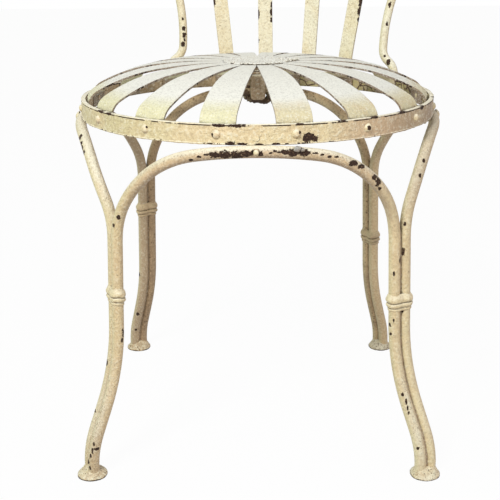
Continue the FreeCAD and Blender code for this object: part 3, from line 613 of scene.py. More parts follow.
    def breaks(self, scale: float, rough: float, rarity: float) -> Signal:
        """A mask of sharp patches, the fewer the higher the rarity."""
        return self.sheet.noise(self.place, scale, 4.0, rough).ramp(rarity, rarity + 0.02)

    def grime_and_shade(self) -> Signal:
        """Grime and painted shade in corners: the less open a point is, the more, broken up by noise."""
        openness = self.sheet.add("AmbientOcclusion", {"samples": 8},
                                  Distance=self.finish.grime_and_shade_reach)["AO"]
        broken = self.sheet.noise(self.place, 170.0).ramp(0.25, 0.62, 0.35, 1.0)
        return openness.ramp(0.78, 0.25, 0.0, self.finish.grime_and_shade_amount) * broken


# The finishes of this chair

RING_FLAKES = (
    (51.5, -195.5, 379.6, 4.6, 4, 4.4), (48.5, -196.2, 378, 3.4, 3.5, 3.2),
    (57, -193.8, 377.4, 4.4, 4, 3), (54.5, -194.6, 379, 4.6, 4, 3), (-25.1, -200.4, 374, 5.5, 4, 2.6),
    (-12.9, -201.5, 373.6, 5, 4, 1.6), (3, -202, 373.4, 4, 4, 1), (19.4, -201, 373.8, 4, 4, 1.2),
    (-37, -198.9, 391.8, 8, 4, 1.6), (-18.5, -201.1, 392, 9, 4, 1.7), (42.8, -197.3, 392.4, 4, 3.6, 1.2),
    (-163.7, -117.6, 392.2, 6, 6, 1.8), (-153.3, -131.5, 392.2, 5, 5, 1.5),
    (116.6, -160.1, 392.8, 6.5, 6, 1), (84.2, -180, 392.8, 6, 5, 1), (150, -133, 392.6, 6, 7, 1.3),
    (176, -98, 391.4, 4, 7, 2.2), (198, -38, 391.4, 3, 5, 2.6),
)
FRONT_FLAKES = (
    (-40, -206.2, 363.8, 7.5, 6, 3.2), (-30, -207.5, 364.2, 8.5, 6, 4.2),
    (-20, -208.5, 364.2, 7.5, 6, 4.2), (-11, -209, 365.8, 5.5, 6, 3.2), (-4.5, -209, 366.2, 2.6, 5, 2.8),
    (4.6, -209, 365.6, 2.2, 5, 2.6), (28.5, -206.7, 367, 4.6, 5, 2.6), (36.5, -204.7, 365.8, 7, 6, 3.6),
    (46.5, -203, 365.4, 6.5, 5, 3.6), (72, -197.5, 360, 2.4, 4, 1.4), (97, -189.5, 351.6, 5.2, 5, 3),
    (104.5, -186.1, 347.4, 4.8, 5, 2.4), (118.5, -179.7, 335, 3, 3.6, 2.8),
    (122.6, -178, 329.6, 3.4, 3.6, 4.4), (124.6, -178, 322.4, 2, 3.6, 2.6),
    (18.3, -208.4, 368.3, 2, 3, 1.2), (-64.2, -199.7, 357.9, 2, 3, 1.2), (-49, -204, 364, 3, 4, 1.2),
    (-56, -202, 362, 2.6, 4, 1.3), (15, -208, 366.4, 2.4, 4, 1), (22, -207.4, 367, 2.4, 4, 0.9),
    (58, -201, 364.6, 3, 4, 1), (65, -199.5, 362.6, 2.2, 4, 1.1), (79, -196, 359.4, 2.2, 4, 1),
    (-143.5, -165.4, 290.4, 2.2, 3.4, 3.4), (-149.5, -162.3, 280.4, 1.5, 3.4, 2.4),
    (-144.6, -164, 159.4, 1.5, 4, 6.4), (-146.2, -165, 152, 1.4, 4, 3.2),
    (-178.5, -191.7, 41.6, 1.2, 3.6, 2.4), (-175.4, -192.3, 35.9, 3.4, 3.6, 1.6),
    (-180.4, -193, 34, 1.2, 3.6, 3.6), (-182.6, -193.6, 28, 1.3, 3.6, 2.6),
    (-185.4, -192, 20, 1.3, 3.6, 3.2), (-183.9, -194.6, 13.9, 1.3, 3.6, 2.6),
    (144.6, -160.5, 225.5, 1.5, 3.6, 3), (151.7, -155.4, 240, 2.2, 3.6, 4.4),
    (142.5, -159.7, 166.9, 1.2, 3.4, 2), (146, -161.6, 172.5, 1, 3.4, 2.4),
    (143.5, -160.2, 157, 1.2, 3.4, 1.6), (157.2, -172.8, 91, 1.5, 3.6, 2.2),
    (161, -174.2, 83.2, 1.4, 3.6, 3.6), (162.6, -176, 77, 1.1, 3.6, 3),
    (163.4, -177.4, 71.5, 1.5, 3.6, 2.2), (173.8, -190, 34.8, 1.9, 3.6, 1.7),
)
SIDE_FLAKES = (
    (-193.5, -83.9, 359, 3.2, 3.4, 3.6), (-191.2, -92.8, 353.4, 3.2, 3.6, 3),
    (-189.4, -98.1, 349.6, 3.2, 3.2, 2.4), (-186.8, -104.5, 346.3, 3, 3, 2.4),
    (-166, -154.4, 121.4, 2.8, 3.2, 3.4), (-184.7, -183.2, 23.5, 2.2, 3.4, 2.4),
    (-179.8, -167.5, 69.5, 2.2, 3.2, 2), (-166.2, 149.5, 119.6, 2.6, 3.4, 2.8),
    (-171.4, 156, 57.4, 2.4, 4, 2.4), (-175.8, 162.1, 31.6, 1.6, 4, 1.8),
    (154.5, -152.3, 247, 2.2, 3.4, 5), (155.4, -155.5, 181.4, 1.6, 3.4, 2.6),
    (177.5, -118.5, 337.8, 1.8, 3.4, 2.4), (172, -130, 324.4, 1.6, 3.4, 2.4),
    (155.3, -151, 277.7, 1.6, 3.2, 2.4),
)
HOOP_FLAKES = (
    (-96.9, 179.7, 450.8, 2.6, 4, 3), (-96.3, 177.6, 442.6, 2.8, 4, 3.4), (-98.5, 174, 431.2, 3, 4, 3.4),
    (-96, 174, 436.5, 1.6, 4, 2.6), (-98.5, 184, 463, 1.6, 4, 2.4), (167.1, 135.2, 482.6, 2, 3.4, 3.6),
    (163.7, 129.8, 459.1, 1.6, 3.4, 2.6), (165.3, 114.8, 413, 2.8, 3.6, 3.8),
    (160.9, 120.8, 420, 1.6, 3.6, 2),
)
SLAT_FLAKES = (
    (-62, 201.9, 439, 2, 4, 2.6), (0.8, 210.9, 466, 1.9, 4, 6), (19.6, 211.8, 478, 2.6, 4, 4),
    (19.8, 210.3, 469, 2.9, 4, 7), (19.2, 209, 459, 2.2, 4, 3.6), (0.9, 206, 432, 1.6, 4, 3.2),
    (-58.6, 210, 483.5, 2.6, 4, 6), (-57.2, 205.5, 459, 1.4, 4, 3), (134.6, 171.5, 484, 3.6, 4, 8),
    (132.6, 170, 471.5, 3, 4, 6), (131.4, 168.7, 461.5, 1.8, 4, 2.8),
)
RIVET_FLAKES = (
    (113.2, -171.5, 383.4, 2.3, 3, 2.4), (-171.5, -110, 383.6, 1.8, 2.4, 2.6),
    (-109.8, -170, 385.4, 1.3, 2, 1.3), (-43, -198.6, 382, 1.2, 3, 2.4),
    (42.8, -198.6, 384.6, 1.4, 3, 1.6),
)

RING_PAINT = PaintFinish(
    "ring_paint", "seat_paint", base=Tone.OLIVE, light_from_above=0.9, edge_flaking=0.245, tint=0.3,
    patches=0.5, grime_and_shade_reach=0.005, stipple_scale=260.0, stipple_depth=0.0026,
    pinhole_share=0.08, pinhole_scale=380.0, crest=0.4,
    drifts=(Drift(Tone.CREAM, -150.0, -40.0), Drift(Tone.PINKISH, 60.0, 120.0),
            Drift(Tone.EARTH, 120.0, 170.0, 0.85), Drift(Tone.UMBER, 160.0, 192.0, 0.9)),
    # Painted shade inside the ring
    inside=Drift(Tone.UMBER, 0.3, 0.9, 0.75, "Inward"), inside_fades_at=15.0,
    flakes=RING_FLAKES, crackle=Drift(Tone.LICHEN, 15.0, 45.0, 0.75),
    edge_lines=((390.9, 392.7, 0.44), (372.6, 374.6, 0.57)))
PETAL_PAINT = PaintFinish(
    "petal_paint", "seat_paint", base=Tone.BONE, lit_tone=Tone.PALE, warm=Tone.BONE,
    light_from_above=0.6, stipple_scale=460.0, stipple_depth=0.0016, valley=0.4,
    valley_tone=Tone.GREY, crest=0.5, pinhole_share=0.05, pinhole_scale=520.0, pinholes=0.6,
    tint=0.2, edge_flaking=0.1, rim=Drift(Tone.OLIVE, 164.0, 190.0, 0.85, "Radius"), petal_change=0.6,
    # Painted shade on the petals' steep sides and ends, and on their undersides
    sides=Drift(Tone.UMBER, 0.3, 0.12, 0.9, "Flat"), side_chips=0.57, under=Tone.UMBER, shade_below=0.9,
    rust_line=(194.2, 196.6))
HUB_PAINT = replace(PETAL_PAINT, name="hub_paint", pinhole_share=0.25, pinhole_scale=260.0,
                    pinholes=0.7, rim=None, sides=None, side_chips=0.0, valley=0.5, crest=0.8,
                    specks=0.2, valley_tone=Tone.EARTH, stipple_depth=0.0022, rust_line=None, grime_and_shade_amount=1.0)
# Side arches: painted shade towards the back, under the seat, and darker towards the floor
LEG_PAINT = PaintFinish(
    "leg_paint", "frame_paint", stipple_scale=400.0, stipple_depth=0.0026, valley=0.26, crest=0.3,
    specks=0.12, pinhole_scale=360.0, pinhole_share=0.14,
    depth=Drift(Tone.SHADED, 40.0, 110.0, along="Back"),
    drifts=(Drift(Tone.SHADED, 190.0, 90.0, 0.5, "Height"),), flakes=SIDE_FLAKES)
# Right arch: warmer towards the back as painted shade, and darker towards the top
RIGHT_PAINT = replace(
    LEG_PAINT, name="right_arch_paint", depth=Drift(Tone.WARM, 40.0, 110.0, along="Back"), light_from_above=0.4,
    drifts=(Drift(Tone.SHADED, 250.0, 325.0, 0.9, "Height"),))
# Front arch: painted shade under its crown, pinker over 300 mm high and stronger on faces that look down
FRONT_PAINT = replace(LEG_PAINT, name="front_arch_paint", depth=None, specks=0.6, shade_below=0.75,
                      drifts=(Drift(Tone.OCHRE, -80.0, -150.0, 0.3), Drift(Tone.WARM, 80.0, 150.0, 0.4),
                              Drift(Tone.SHADED, -150.0, -178.0, 0.75),
                              Drift(Tone.IVORY, 152.0, 178.0, 0.5),
                              Drift(Tone.PINKISH, 300.0, 345.0, 0.8, "Height")),
                      flakes=FRONT_FLAKES)
# Rear arch: darker all over as painted shade under the seat, browner at the left, warmer at the right and
# lighter high up
REAR_PAINT = replace(
    LEG_PAINT, name="rear_arch_paint", depth=None, base=Tone.SHADED, warm=Tone.EARTH,
    lit_tone=Tone.WARM, under=Tone.UMBER, pinhole_share=0.45, valley=0.45, valley_tone=Tone.UMBER,
    specks=0.0, flakes=(),
    drifts=(Drift(Tone.OCHRE, -60.0, -130.0, 0.4), Drift(Tone.EARTH, -60.0, -130.0, 0.6),
            Drift(Tone.WARM, 60.0, 130.0, 0.9),
            Drift(Tone.CREAM, 300.0, 345.0, 0.7, "Height")))
# Plates: dark as painted shade under the seat, with a painted highlight on their tops
PLATE_PAINT = replace(REAR_PAINT, name="plate_paint", lit_tone=Tone.LIGHT, light_from_above=1.0,
                      patches=0.2, pinhole_share=0.1, drifts=())
CLAMP_PAINT = replace(REAR_PAINT, name="clamp_paint", base=Tone.GRIME_AND_SHADE, warm=Tone.RUST,
                      lit_tone=Tone.UMBER, under=Tone.RUST, pinhole_share=0.5, drifts=())
COLLAR_PAINT = replace(
    LEG_PAINT, name="collar_paint", depth=None, light_from_above=0.5, pinhole_share=0.16,
    stipple_depth=0.0016, grime_and_shade_amount=1.0, grime_and_shade_reach=0.005, flakes=())
# Rear collars darker as painted shade
REAR_COLLAR_PAINT = replace(COLLAR_PAINT, name="rear_collar_paint", base=Tone.SHADED,
                            lit_tone=Tone.CREAM, under=Tone.UMBER)
# Seams: the shaded tone as painted shade in the grooves, darker to the back as painted shade and browner
# to the right
SEAM_PAINT = replace(LEG_PAINT, name="seam_paint", base=Tone.SHADED, warm=Tone.EARTH, valley=0.5,
                     pinhole_share=0.3, light_from_above=0.2, depth=Drift(Tone.EARTH, 40.0, 110.0, along="Back"),
                     drifts=(Drift(Tone.EARTH, 0.0, 100.0, 0.8),), flakes=())
BACK_PAINT = PaintFinish(
    "back_paint", "back_paint", base=Tone.IVORY, warm=Tone.CREAM, stipple_scale=340.0,
    stipple_depth=0.0024, pinhole_share=0.14, pinhole_scale=360.0, crest=0.4,
    edge_flaking=0.21, drifts=(Drift(Tone.CREAM, 60.0, -60.0, 0.7),), flakes=SLAT_FLAKES)
HOOP_PAINT = replace(BACK_PAINT, name="hoop_paint", stipple_scale=400.0, flakes=HOOP_FLAKES)
# Feet: darker at the left and lighter at the right, and the rear ones a little darker as painted shade
FOOT_PAINT = PaintFinish(
    "foot_paint", "foot_paint", base=Tone.WARM, warm=Tone.OCHRE, lit_tone=Tone.IVORY,
    light_from_above=0.5, pinhole_share=0.4, pinhole_scale=380.0, patches=1.0, stipple_depth=0.0030,
    valley=0.42, crest=0.8, specks=0.5,
    drifts=(Drift(Tone.SHADED, 50.0, -100.0, 0.4), Drift(Tone.LIGHT, 50.0, 160.0, 0.8)),
    depth=Drift(Tone.SHADED, 40.0, 110.0, 0.25, "Back"), edge_lines=((-0.6, 1.8, 0.44), (0.8, 3.2, 0.6)))
# Strong grime and painted shade round the rivet heads
RIVET_PAINT = PaintFinish(
    "rivet_paint", "rivet_paint", warm=Tone.PINKISH, light_from_above=0.6,
    edge_flaking=0.05, pinhole_share=0.08, grime_and_shade_amount=1.0, grime_and_shade_reach=0.003, stipple_depth=0.001,
    # Painted shade on the rivets' inner sides
    inside=Drift(Tone.EARTH, 0.2, 0.7, 0.9, "Inward"), flakes=RIVET_FLAKES)
WELD_PAINT = replace(LEG_PAINT, name="weld_paint", depth=None, base=Tone.GREY,
                     lit_tone=Tone.GREY, warm=Tone.UMBER, patches=1.0, flaking=0.22, flakes=())

NODE_FINISHES = {
    "seat_ring": RING_PAINT,
    "hub_disc": PLATE_PAINT,
    "hub_*": HUB_PAINT,
    "petal_rivets": RIVET_PAINT,
    "petal_*": PETAL_PAINT,
    "front_arch": FRONT_PAINT,
    "rear_arch": REAR_PAINT,
    "right_arch": RIGHT_PAINT,
    "rear_plate": PLATE_PAINT,
    "back_hoop": HOOP_PAINT,
    "*_arch": LEG_PAINT,
    "*_plate": LEG_PAINT,
    "*_collar": COLLAR_PAINT,
    "*_foot": FOOT_PAINT,
    "*_rivets": RIVET_PAINT,
    "*": BACK_PAINT,
}


class Dresser:
    """Hands out materials, one for each finish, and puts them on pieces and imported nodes."""

    def __init__(self) -> None:
        """Starts with no material made."""
        self.groups = PaintGroups()
        self.made: dict[str, bpy.types.Material] = {}

    def wear(self, piece: bpy.types.Object, finish: PaintFinish) -> None:
        """Gives a piece or a node that finish and nothing else."""
        if finish.name not in self.made:
            self.made[finish.name] = PaintCoat(finish, self.groups).paint()
        piece.data.materials.clear()
        piece.data.materials.append(self.made[finish.name])

    def dress_nodes(self) -> None:
        """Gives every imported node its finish."""
        for name, node in frame["nodes"].items():
            finish = next(NODE_FINISHES[kind] for kind in NODE_FINISHES if fnmatch(name, kind))
            self.wear(node, finish)
            LOG.info("%s wears %s", name, finish.name)

    def add_piece(self, name: str, surfaces: Sequence["Skin"], finish: PaintFinish,
                  replaces: Sequence[str] = ()) -> bpy.types.Object:
        """A new piece of the chair, riding on its body.

        Args:
            name: the piece's name.
            surfaces: its closed skins, in millimetres from the seat's axis.
            finish: what it wears.
            replaces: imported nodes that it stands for.

        Returns:
            The piece.
        """
        points = np.concatenate([skin.points for skin in surfaces])
        starts = np.cumsum([0] + [len(skin.points) for skin in surfaces]).tolist()
        faces = [[start + number for number in face] for skin, start in zip(surfaces, starts)
                 for face in skin.faces]
        mesh = bpy.data.meshes.new(name)
        mesh.from_pydata((points * MM + np.array(SEAT_CENTRE)).tolist(), [], faces)
        mesh.polygons.foreach_set("use_smooth", np.ones(len(faces), dtype=bool))
        mesh.update()
        piece = bpy.data.objects.new(name, mesh)
        bpy.context.scene.collection.objects.link(piece)
        self.wear(piece, finish)
        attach(piece, BODY)
        if replaces:
            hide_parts(*replaces)
        LOG.info("%s: %d faces, wears %s", name, len(faces), finish.name)
        return piece


# Surfaces

@dataclass
class Skin:
    """A closed surface: points in millimetres, and faces as lists of their numbers."""

    points: np.ndarray
    faces: list


def closed_skin(grid: np.ndarray, wrap: bool = False) -> Skin:
    """A closed surface through a grid of points.

    Each row of the grid is a closed loop, and quads join each row to the next. With wrap the
    last row joins the first; otherwise the first and the last loop are each closed by a fan
    round their own middle. The faces are turned round if the volume they hold, a sixth of the
    sum of a . (b x c) over triangles, is negative.

    Args:
        grid: rows x points round x 3.
        wrap: whether the rows form a ring.

    Returns:
        The surface with its faces outward.
    """
    rows, around, _ = grid.shape
    number = np.arange(rows * around).reshape(rows, around)
    here = number if wrap else number[:-1]
    after = np.roll(number, -1, axis=0)[: len(here)]
    quads = np.stack([here, np.roll(here, -1, 1), np.roll(after, -1, 1), after], -1).reshape(-1, 4)
    points = grid.reshape(-1, 3)
    triangles = np.zeros((0, 3), dtype=int)
    if not wrap:
        points = np.concatenate([points, grid[0].mean(0)[None], grid[-1].mean(0)[None]])
        first, last = rows * around, rows * around + 1
        low = np.stack([number[0], np.full(around, first), np.roll(number[0], -1)], -1)
        high = np.stack([number[-1], np.roll(number[-1], -1), np.full(around, last)], -1)
        triangles = np.concatenate([low, high])
    halves = np.concatenate([quads[:, [0, 1, 2]], quads[:, [0, 2, 3]], triangles])
    a, b, c = (points[halves[:, k]] for k in range(3))
    if np.einsum("ij,ij->i", a, np.cross(b, c)).sum() < 0:
        quads = quads[:, ::-1]
        triangles = triangles[:, ::-1]
    return Skin(points, quads.tolist() + triangles.tolist())


def bearing(turn) -> np.ndarray:
    """Level unit vectors at turns in degrees from the middle of the back towards +X."""
    angle = np.radians(turn)
    return np.stack([np.sin(angle), np.cos(angle), np.zeros_like(angle)], -1)


def angles(count: int) -> np.ndarray:
    """That many angles all round, in radians, as one row."""
    return np.linspace(0.0, math.tau, count, endpoint=False)[None, :]


def rings(share: float, count: int, edge: Sequence[tuple[float, float]]) -> np.ndarray:
    """The rings of a disc, from the middle of its top over the edge to the middle underneath.

    Args:
        share: how far out the even part of the top runs, as a share of the radius.
        count: how many rings it has.
        edge: share of the radius and share of the depth of each further ring.

    Returns:
        The shares of the radius and of the depth, each as a column.
    """
    top = [(reach, 0.0) for reach in np.linspace(edge[-1][0], share, count)]
    return np.array([*top, *edge]).T[..., None]


def upright_disc(out: np.ndarray, radius: np.ndarray) -> np.ndarray:
    """Rings of points about zero on the upright face that looks along out, from their radii."""
    u = angles(radius.shape[1])
    side = np.array([out[1], -out[0], 0.0])
    return side * (radius * np.cos(u))[..., None] + UP * (radius * np.sin(u))[..., None]


def lumps(points: np.ndarray, wave: float, seed: int) -> np.ndarray:
    """Smooth unevenness from -1 to 1.

    The mean of nine sine waves of about that wavelength in seeded directions, made steeper.

    Args:
        points: ... x 3, millimetres.
        wave: wavelength, millimetres.
        seed: which set of waves.

    Returns:
        One number a point.
    """
    luck = np.random.default_rng(seed)
    ways = luck.normal(size=(9, 3))
    ways /= np.linalg.norm(ways, axis=1)[:, None]
    ways *= (math.tau / wave * luck.uniform(0.7, 1.5, 9))[:, None]
    phases = luck.uniform(0, math.tau, 9)
    return np.tanh(np.sin(points @ ways.T + phases).mean(-1) * 2.2)


def spline_loop(corners: Sequence[tuple[float, float]], count: int) -> np.ndarray:
    """A smooth closed curve through flat points.

    Between two corners it is a cubic whose slope at each corner is half the step from the corner
    before to the corner after.

    Args:
        corners: the points it passes.
        count: points between one corner and the next.

    Returns:
        Points x 2.
    """
    here = np.array(corners, float)
    after = np.roll(here, -1, 0)
    leaving = (after - np.roll(here, 1, 0)) * 0.5
    arriving = np.roll(leaving, -1, 0)
    t = np.linspace(0, 1, count, endpoint=False)[None, :, None]
    curve = (here[:, None] * (2 * t**3 - 3 * t**2 + 1) + leaving[:, None] * (t**3 - 2 * t**2 + t)
             + after[:, None] * (3 * t**2 - 2 * t**3) + arriving[:, None] * (t**3 - t**2))
    return curve.reshape(-1, 2)


# Sub-assemblies

# Lumps: middle, radii along, across and up, in millimetres, and turn in degrees
RUST_LUMPS = (
    (-2, 203.5, 354, 14, 5, 6, 0), (8, 203.5, 351.5, 9, 5, 4.5, 0), (22, 203.5, 350.5, 4.2, 3.6, 6.5, 0),
    (15, 200, 374, 4.4, 3.8, 4.4, 0), (-14, 200, 371.5, 4, 3.6, 3.8, 0),
    (18, 200.5, 361.5, 7, 6.4, 5.4, 0), (26, 202, 345.8, 3.4, 3.4, 5, 0),
    (-17, 201, 363.5, 6, 6.5, 6, 0), (-15, 203, 357.5, 5, 4.5, 4.5, 0), (17, 203.5, 356, 5.5, 4.5, 4.5, 0),
)
ARCH_WELD = ((40.4, -205.2, 369.6, 4.2, 3.2, 2.7, 12), (44.6, -204.4, 368.6, 2.8, 3, 2.2, 14))

# Across, back, reach and rise of each lump on the hub
HUB_WELDS = [
    (33.0, -15.0, 3.6, 2.6), (38.0, -9.0, 3.2, 2.8), (42.5, -3.5, 3.4, 2.6), (46.5, 2.0, 2.8, 2.4),
    (36.0, 0.0, 3.0, 2.4), (29.5, -6.0, 3.2, 2.2), (-26.0, -26.0, 4.0, 1.6), (9.0, 37.0, 5.0, 1.8),
]

# The collar's profile: share of the bulge, and share of the height
COLLAR_BANDS = (
    (-0.2, 0.0), (0.34, 0.01), (0.40, 0.10), (0.10, 0.17), (0.66, 0.23), (0.92, 0.32), (0.80, 0.42),
    (0.30, 0.475), (0.80, 0.53), (1.0, 0.62), (0.95, 0.73), (0.60, 0.85), (0.22, 0.95), (-0.2, 1.0),
    (-0.3, 0.5),
)

# Rings over a disc's edge: share of the radius, and share of the depth
FOOT_EDGE = ((0.97, 0.0), (0.995, 0.06), (1.0, 0.35), (1.0, 0.8), (0.985, 1.0), (0.5, 1.0), (0.02, 1.0))
HUB_EDGE = ((1.0, 0.35), (1.0, 0.75), (0.99, 1.0), (0.5, 1.0), (0.01, 1.0))
HEAD_EDGE = ((0.99, 1.0), (0.5, 1.0), (0.02, 1.0))

# Painted rivet heads: radius, rise, and radius of the skirt of paint
CROWN_HEAD = (2.8, 2.5, 3.0)
PLATE_HEAD = (2.6, 1.2, 3.4)
BOSS_HEAD = (2.6, 1.4, 3.4)
SKIRT_RISE = 0.5
HEAD_SUNK = 0.6


@dataclass(frozen=True)
class Leg:
    """One leg: two round bars side by side, painted over as one, with a collar and a foot.

    Lengths are in millimetres and angles in degrees. The leg stands at a turn from the back. It
    slopes by the splay under the knee and by the lean over it. Apart is half the distance from
    bar to bar, and the pair is turned by the twist about the leg. The collar hangs by its drop
    under the split, and its waist is pinched by its dip.
    """

    corner: str
    turn: float
    splay: float
    foot_reach: float
    twist: float
    collar_drop: float
    collar_dip: float
    seed: int
    apart: float = 6.37
    lean: float = 2.3
    knee: float = 226.0
    ankle: float = 95.0
    ankle_height: float = 10.0
    split_reach: float = 213.0
    split_height: float = 262.0
    untwist: float = 45.0
    parting: float = 0.0062
    web_height: float = 10.0
    step: float = 2.0
    seam_start: float = 6.0
    seam_height: float = 3.3
    seam_wave: float = 0.28
    flood: float = 0.75
    flood_height: float = 55.0
    collar_height: float = 18.0
    collar_bulge: float = 3.0
    collar_uneven: float = 0.28
    squareness: float = 2.4
    dip_width: float = 4.2
    foot_radius: float = 16.4
    foot_edge: float = 2.0
    foot_top: float = 9.5
    foot_uneven: float = 0.25
    flare: float = 2.2
    flare_width: float = 1.9

    def build(self, dresser: Dresser) -> None:
        """Makes the leg's pieces."""
        dresser.add_piece(f"{self.corner}_seam", self.seams(), SEAM_PAINT)
        paint = REAR_COLLAR_PAINT if self.corner.startswith("rear") else COLLAR_PAINT
        for kind, skin, finish in (("collar", self.collar(), paint),
                                   ("foot", self.foot(), FOOT_PAINT)):
            node = f"{self.corner}_{kind}"
            dresser.add_piece(f"{node}_cast", [skin], finish, [node])

    def middle_line(self) -> np.ndarray:
        """Reach and height up the leg's middle, at even steps from inside the foot to over the split.

        Upright to the ankle height, an arc of the ankle radius out to the splay, a straight run,
        an arc of the knee radius back to the lean, and straight on through the split.
        """
        slope, lean = math.radians(self.splay), math.radians(self.lean)
        turned = np.linspace(0.0, slope, 40)
        ankle = np.stack([self.foot_reach - self.ankle * (1 - np.cos(turned)),
                          self.ankle_height + self.ankle * np.sin(turned)], 1)
        shift = self.knee * (math.cos(lean) - math.cos(slope))
        rise = self.knee * (math.sin(slope) - math.sin(lean))
        shank_reach = self.split_reach + (self.split_height - ankle[-1, 1] - rise) * math.tan(lean)
        closing = math.sin(slope) - math.cos(slope) * math.tan(lean)
        run = (ankle[-1, 0] - shift - shank_reach) / closing
        start = ankle[-1] + run * np.array([-math.sin(slope), math.cos(slope)])
        turned = np.linspace(slope, lean, 60)
        knee = np.stack([start[0] + self.knee * (math.cos(slope) - np.cos(turned)),
                         start[1] + self.knee * (math.sin(slope) - np.sin(turned))], 1)
        split = np.array([[self.split_reach, self.split_height]])
        over = split + self.web_height * np.array([[-math.sin(lean), math.cos(lean)]])
        start = [[self.foot_reach, self.seam_start]]
        line = np.concatenate([start, ankle, knee, split, over])
        along = np.concatenate([[0.0], np.cumsum(np.hypot(*np.diff(line, axis=0).T))])
        even = np.linspace(0.0, along[-1], int(along[-1] / self.step) + 1)
        return np.stack([np.interp(even, along, line[:, k]) for k in range(2)], 1)

    def stations(self) -> tuple[np.ndarray, np.ndarray, np.ndarray, np.ndarray, np.ndarray]:
        """Middle points, the directions from bar to bar and out of the pair, the bars' distance
        from the middle, and the height over the split, all up the leg.

        Over the split the bars part by the square of the height, and turn towards the sides.
        """
        line = self.middle_line()
        out = bearing(self.turn)
        points = out * line[:, :1] + UP * line[:, 1:]
        heading = np.gradient(points, axis=0)
        heading /= np.linalg.norm(heading, axis=1)[:, None]
        over = np.maximum(line[:, 1] - self.split_height, 0.0)
        pair = bearing(self.turn + 90.0 + self.twist * (1 - over / self.untwist))
        across = pair - heading * np.einsum("ij,ij->i", pair, heading)[:, None]
        share = np.linalg.norm(across, axis=1)
        across /= share[:, None]
        facing = np.cross(heading, across)
        facing *= np.sign(facing @ out)[:, None]
        return points, across, facing, (self.apart + self.parting * over**2) * share, over

    def seams(self) -> list[Skin]:
        """Paint that fills the groove between the bars, in front and behind.

        Across the groove the surface hangs between the two bars as a parabola. Its edges lie on
        the bars at a height that waves along the leg, is more near the foot, and drops round to
        nothing at the top of the web over the split.
        """
        points, across, facing, apart, over = self.stations()
        share = np.sqrt(np.clip(1.0 - (over / (self.web_height + 0.01)) ** 2, 0.0, 1.0))
        flood = self.flood * np.clip(1.0 - points[:, 2] / self.flood_height, 0.0, 1.0)
        t = np.linspace(-1.0, 1.0, 11)
        skins = []
        for side, seed in ((1.0, self.seed), (-1.0, self.seed + 1)):
            wave = lumps(points, 14.0, seed)
            edge = (self.seam_height + self.seam_wave * wave + flood) * share
            half = (apart - np.sqrt(ROD_RADIUS**2 - edge**2) + 0.15)[:, None]
            sag = (0.75 + 0.25 * lumps(points, 9.0, seed + 5))[:, None] * share[:, None]
            bowl = 1.0 - t[None, :] ** 2
            top = edge[:, None] - sag * bowl
            base = top - (0.2 + 1.2 * share[:, None]) * bowl
            width = np.concatenate([half * t, (half * t)[:, -2:0:-1]], 1)
            rise = np.concatenate([top, base[:, -2:0:-1]], 1) * side
            grid = (points[:, None] + across[:, None] * width[..., None]
                    + facing[:, None] * rise[..., None])
            skins.append(closed_skin(grid))
        return skins

    def collar(self) -> Skin:
        """The cast collar round both bars.

        A profile of three bands is carried round a section that is a circle pulled apart along
        the pair, pinched a little in its middle, so the collar reads as one casting.
        """
        lean = math.radians(self.lean)
        out = bearing(self.turn)
        heading = UP * math.cos(lean) - out * math.sin(lean)
        across = bearing(self.turn + 90.0 + self.twist)
        across -= heading * (across @ heading)
        across /= np.linalg.norm(across)
        facing = np.cross(heading, across)
        middle = out * (self.split_reach + self.collar_drop * math.tan(lean))
        middle = middle + UP * (self.split_height - self.collar_drop)
        profile = spline_loop(COLLAR_BANDS, 5)
        u = angles(72)
        share, level = profile[:, :1], profile[:, 1:]
        wavy = 0.022 * np.sin(2 * u + self.seed) + 0.016 * np.sin(3 * u + 1.7 * self.seed)
        level = level + wavy * (share > 0)
        radius = ROD_RADIUS + self.collar_bulge * share
        shift = np.tanh(self.squareness * np.cos(u)) / math.tanh(self.squareness)
        x = self.apart * shift + radius * np.cos(u)
        y = radius * np.sin(u) * (1 - self.collar_dip * np.exp(-(x / self.dip_width) ** 2))
        place = (middle + across * x[..., None] + facing * y[..., None]
                 + heading * ((level - 0.5) * self.collar_height)[..., None])
        swell = self.collar_uneven * lumps(place, 6.5, self.seed + 11) * (share > 0)
        outward = across * np.cos(u)[..., None] + facing * np.sin(u)[..., None]
        return closed_skin(place + outward * swell[..., None], wrap=True)

    def foot(self) -> Skin:
        """The foot plate, with paint run up to the bars.

        Half a lens on an upright edge: the top is a round cap, raised by a bell curve of the
        distance to the nearer bar's surface, and the rim waves a little.
        """
        u = angles(72)
        reach, drop = rings(0.93, 22, FOOT_EDGE)
        rim = self.foot_radius * (1 + 0.012 * np.sin(3 * u + self.seed) + 0.008 * np.sin(7 * u))
        radius = reach * np.minimum(rim, self.foot_radius * 1.02)
        centre = bearing(self.turn) * self.foot_reach
        pair = bearing(self.turn + 90.0 + self.twist)
        flat = centre + np.stack([np.cos(u), np.sin(u), 0 * u], -1) * radius[..., None]
        to_bars = [np.linalg.norm(flat - centre - pair * offset, axis=-1)
                   for offset in (self.apart, -self.apart)]
        gap = np.maximum(np.minimum(*to_bars) - ROD_RADIUS, 0.0)
        cap_rise = self.foot_top - self.foot_edge
        sphere = (self.foot_radius**2 + cap_rise**2) / (2 * cap_rise)
        inside = np.minimum(radius, self.foot_radius)
        cap = cap_rise - sphere + np.sqrt(sphere**2 - inside**2)
        flare = self.flare * np.exp(-((gap / self.flare_width) ** 2))
        uneven = self.foot_uneven * lumps(flat, 7.0, self.seed + 3) * (reach < 0.95)
        top = self.foot_edge + cap + flare + uneven
        flat[..., 2] = np.maximum(top * (1 - drop), 0.0)
        return closed_skin(flat)


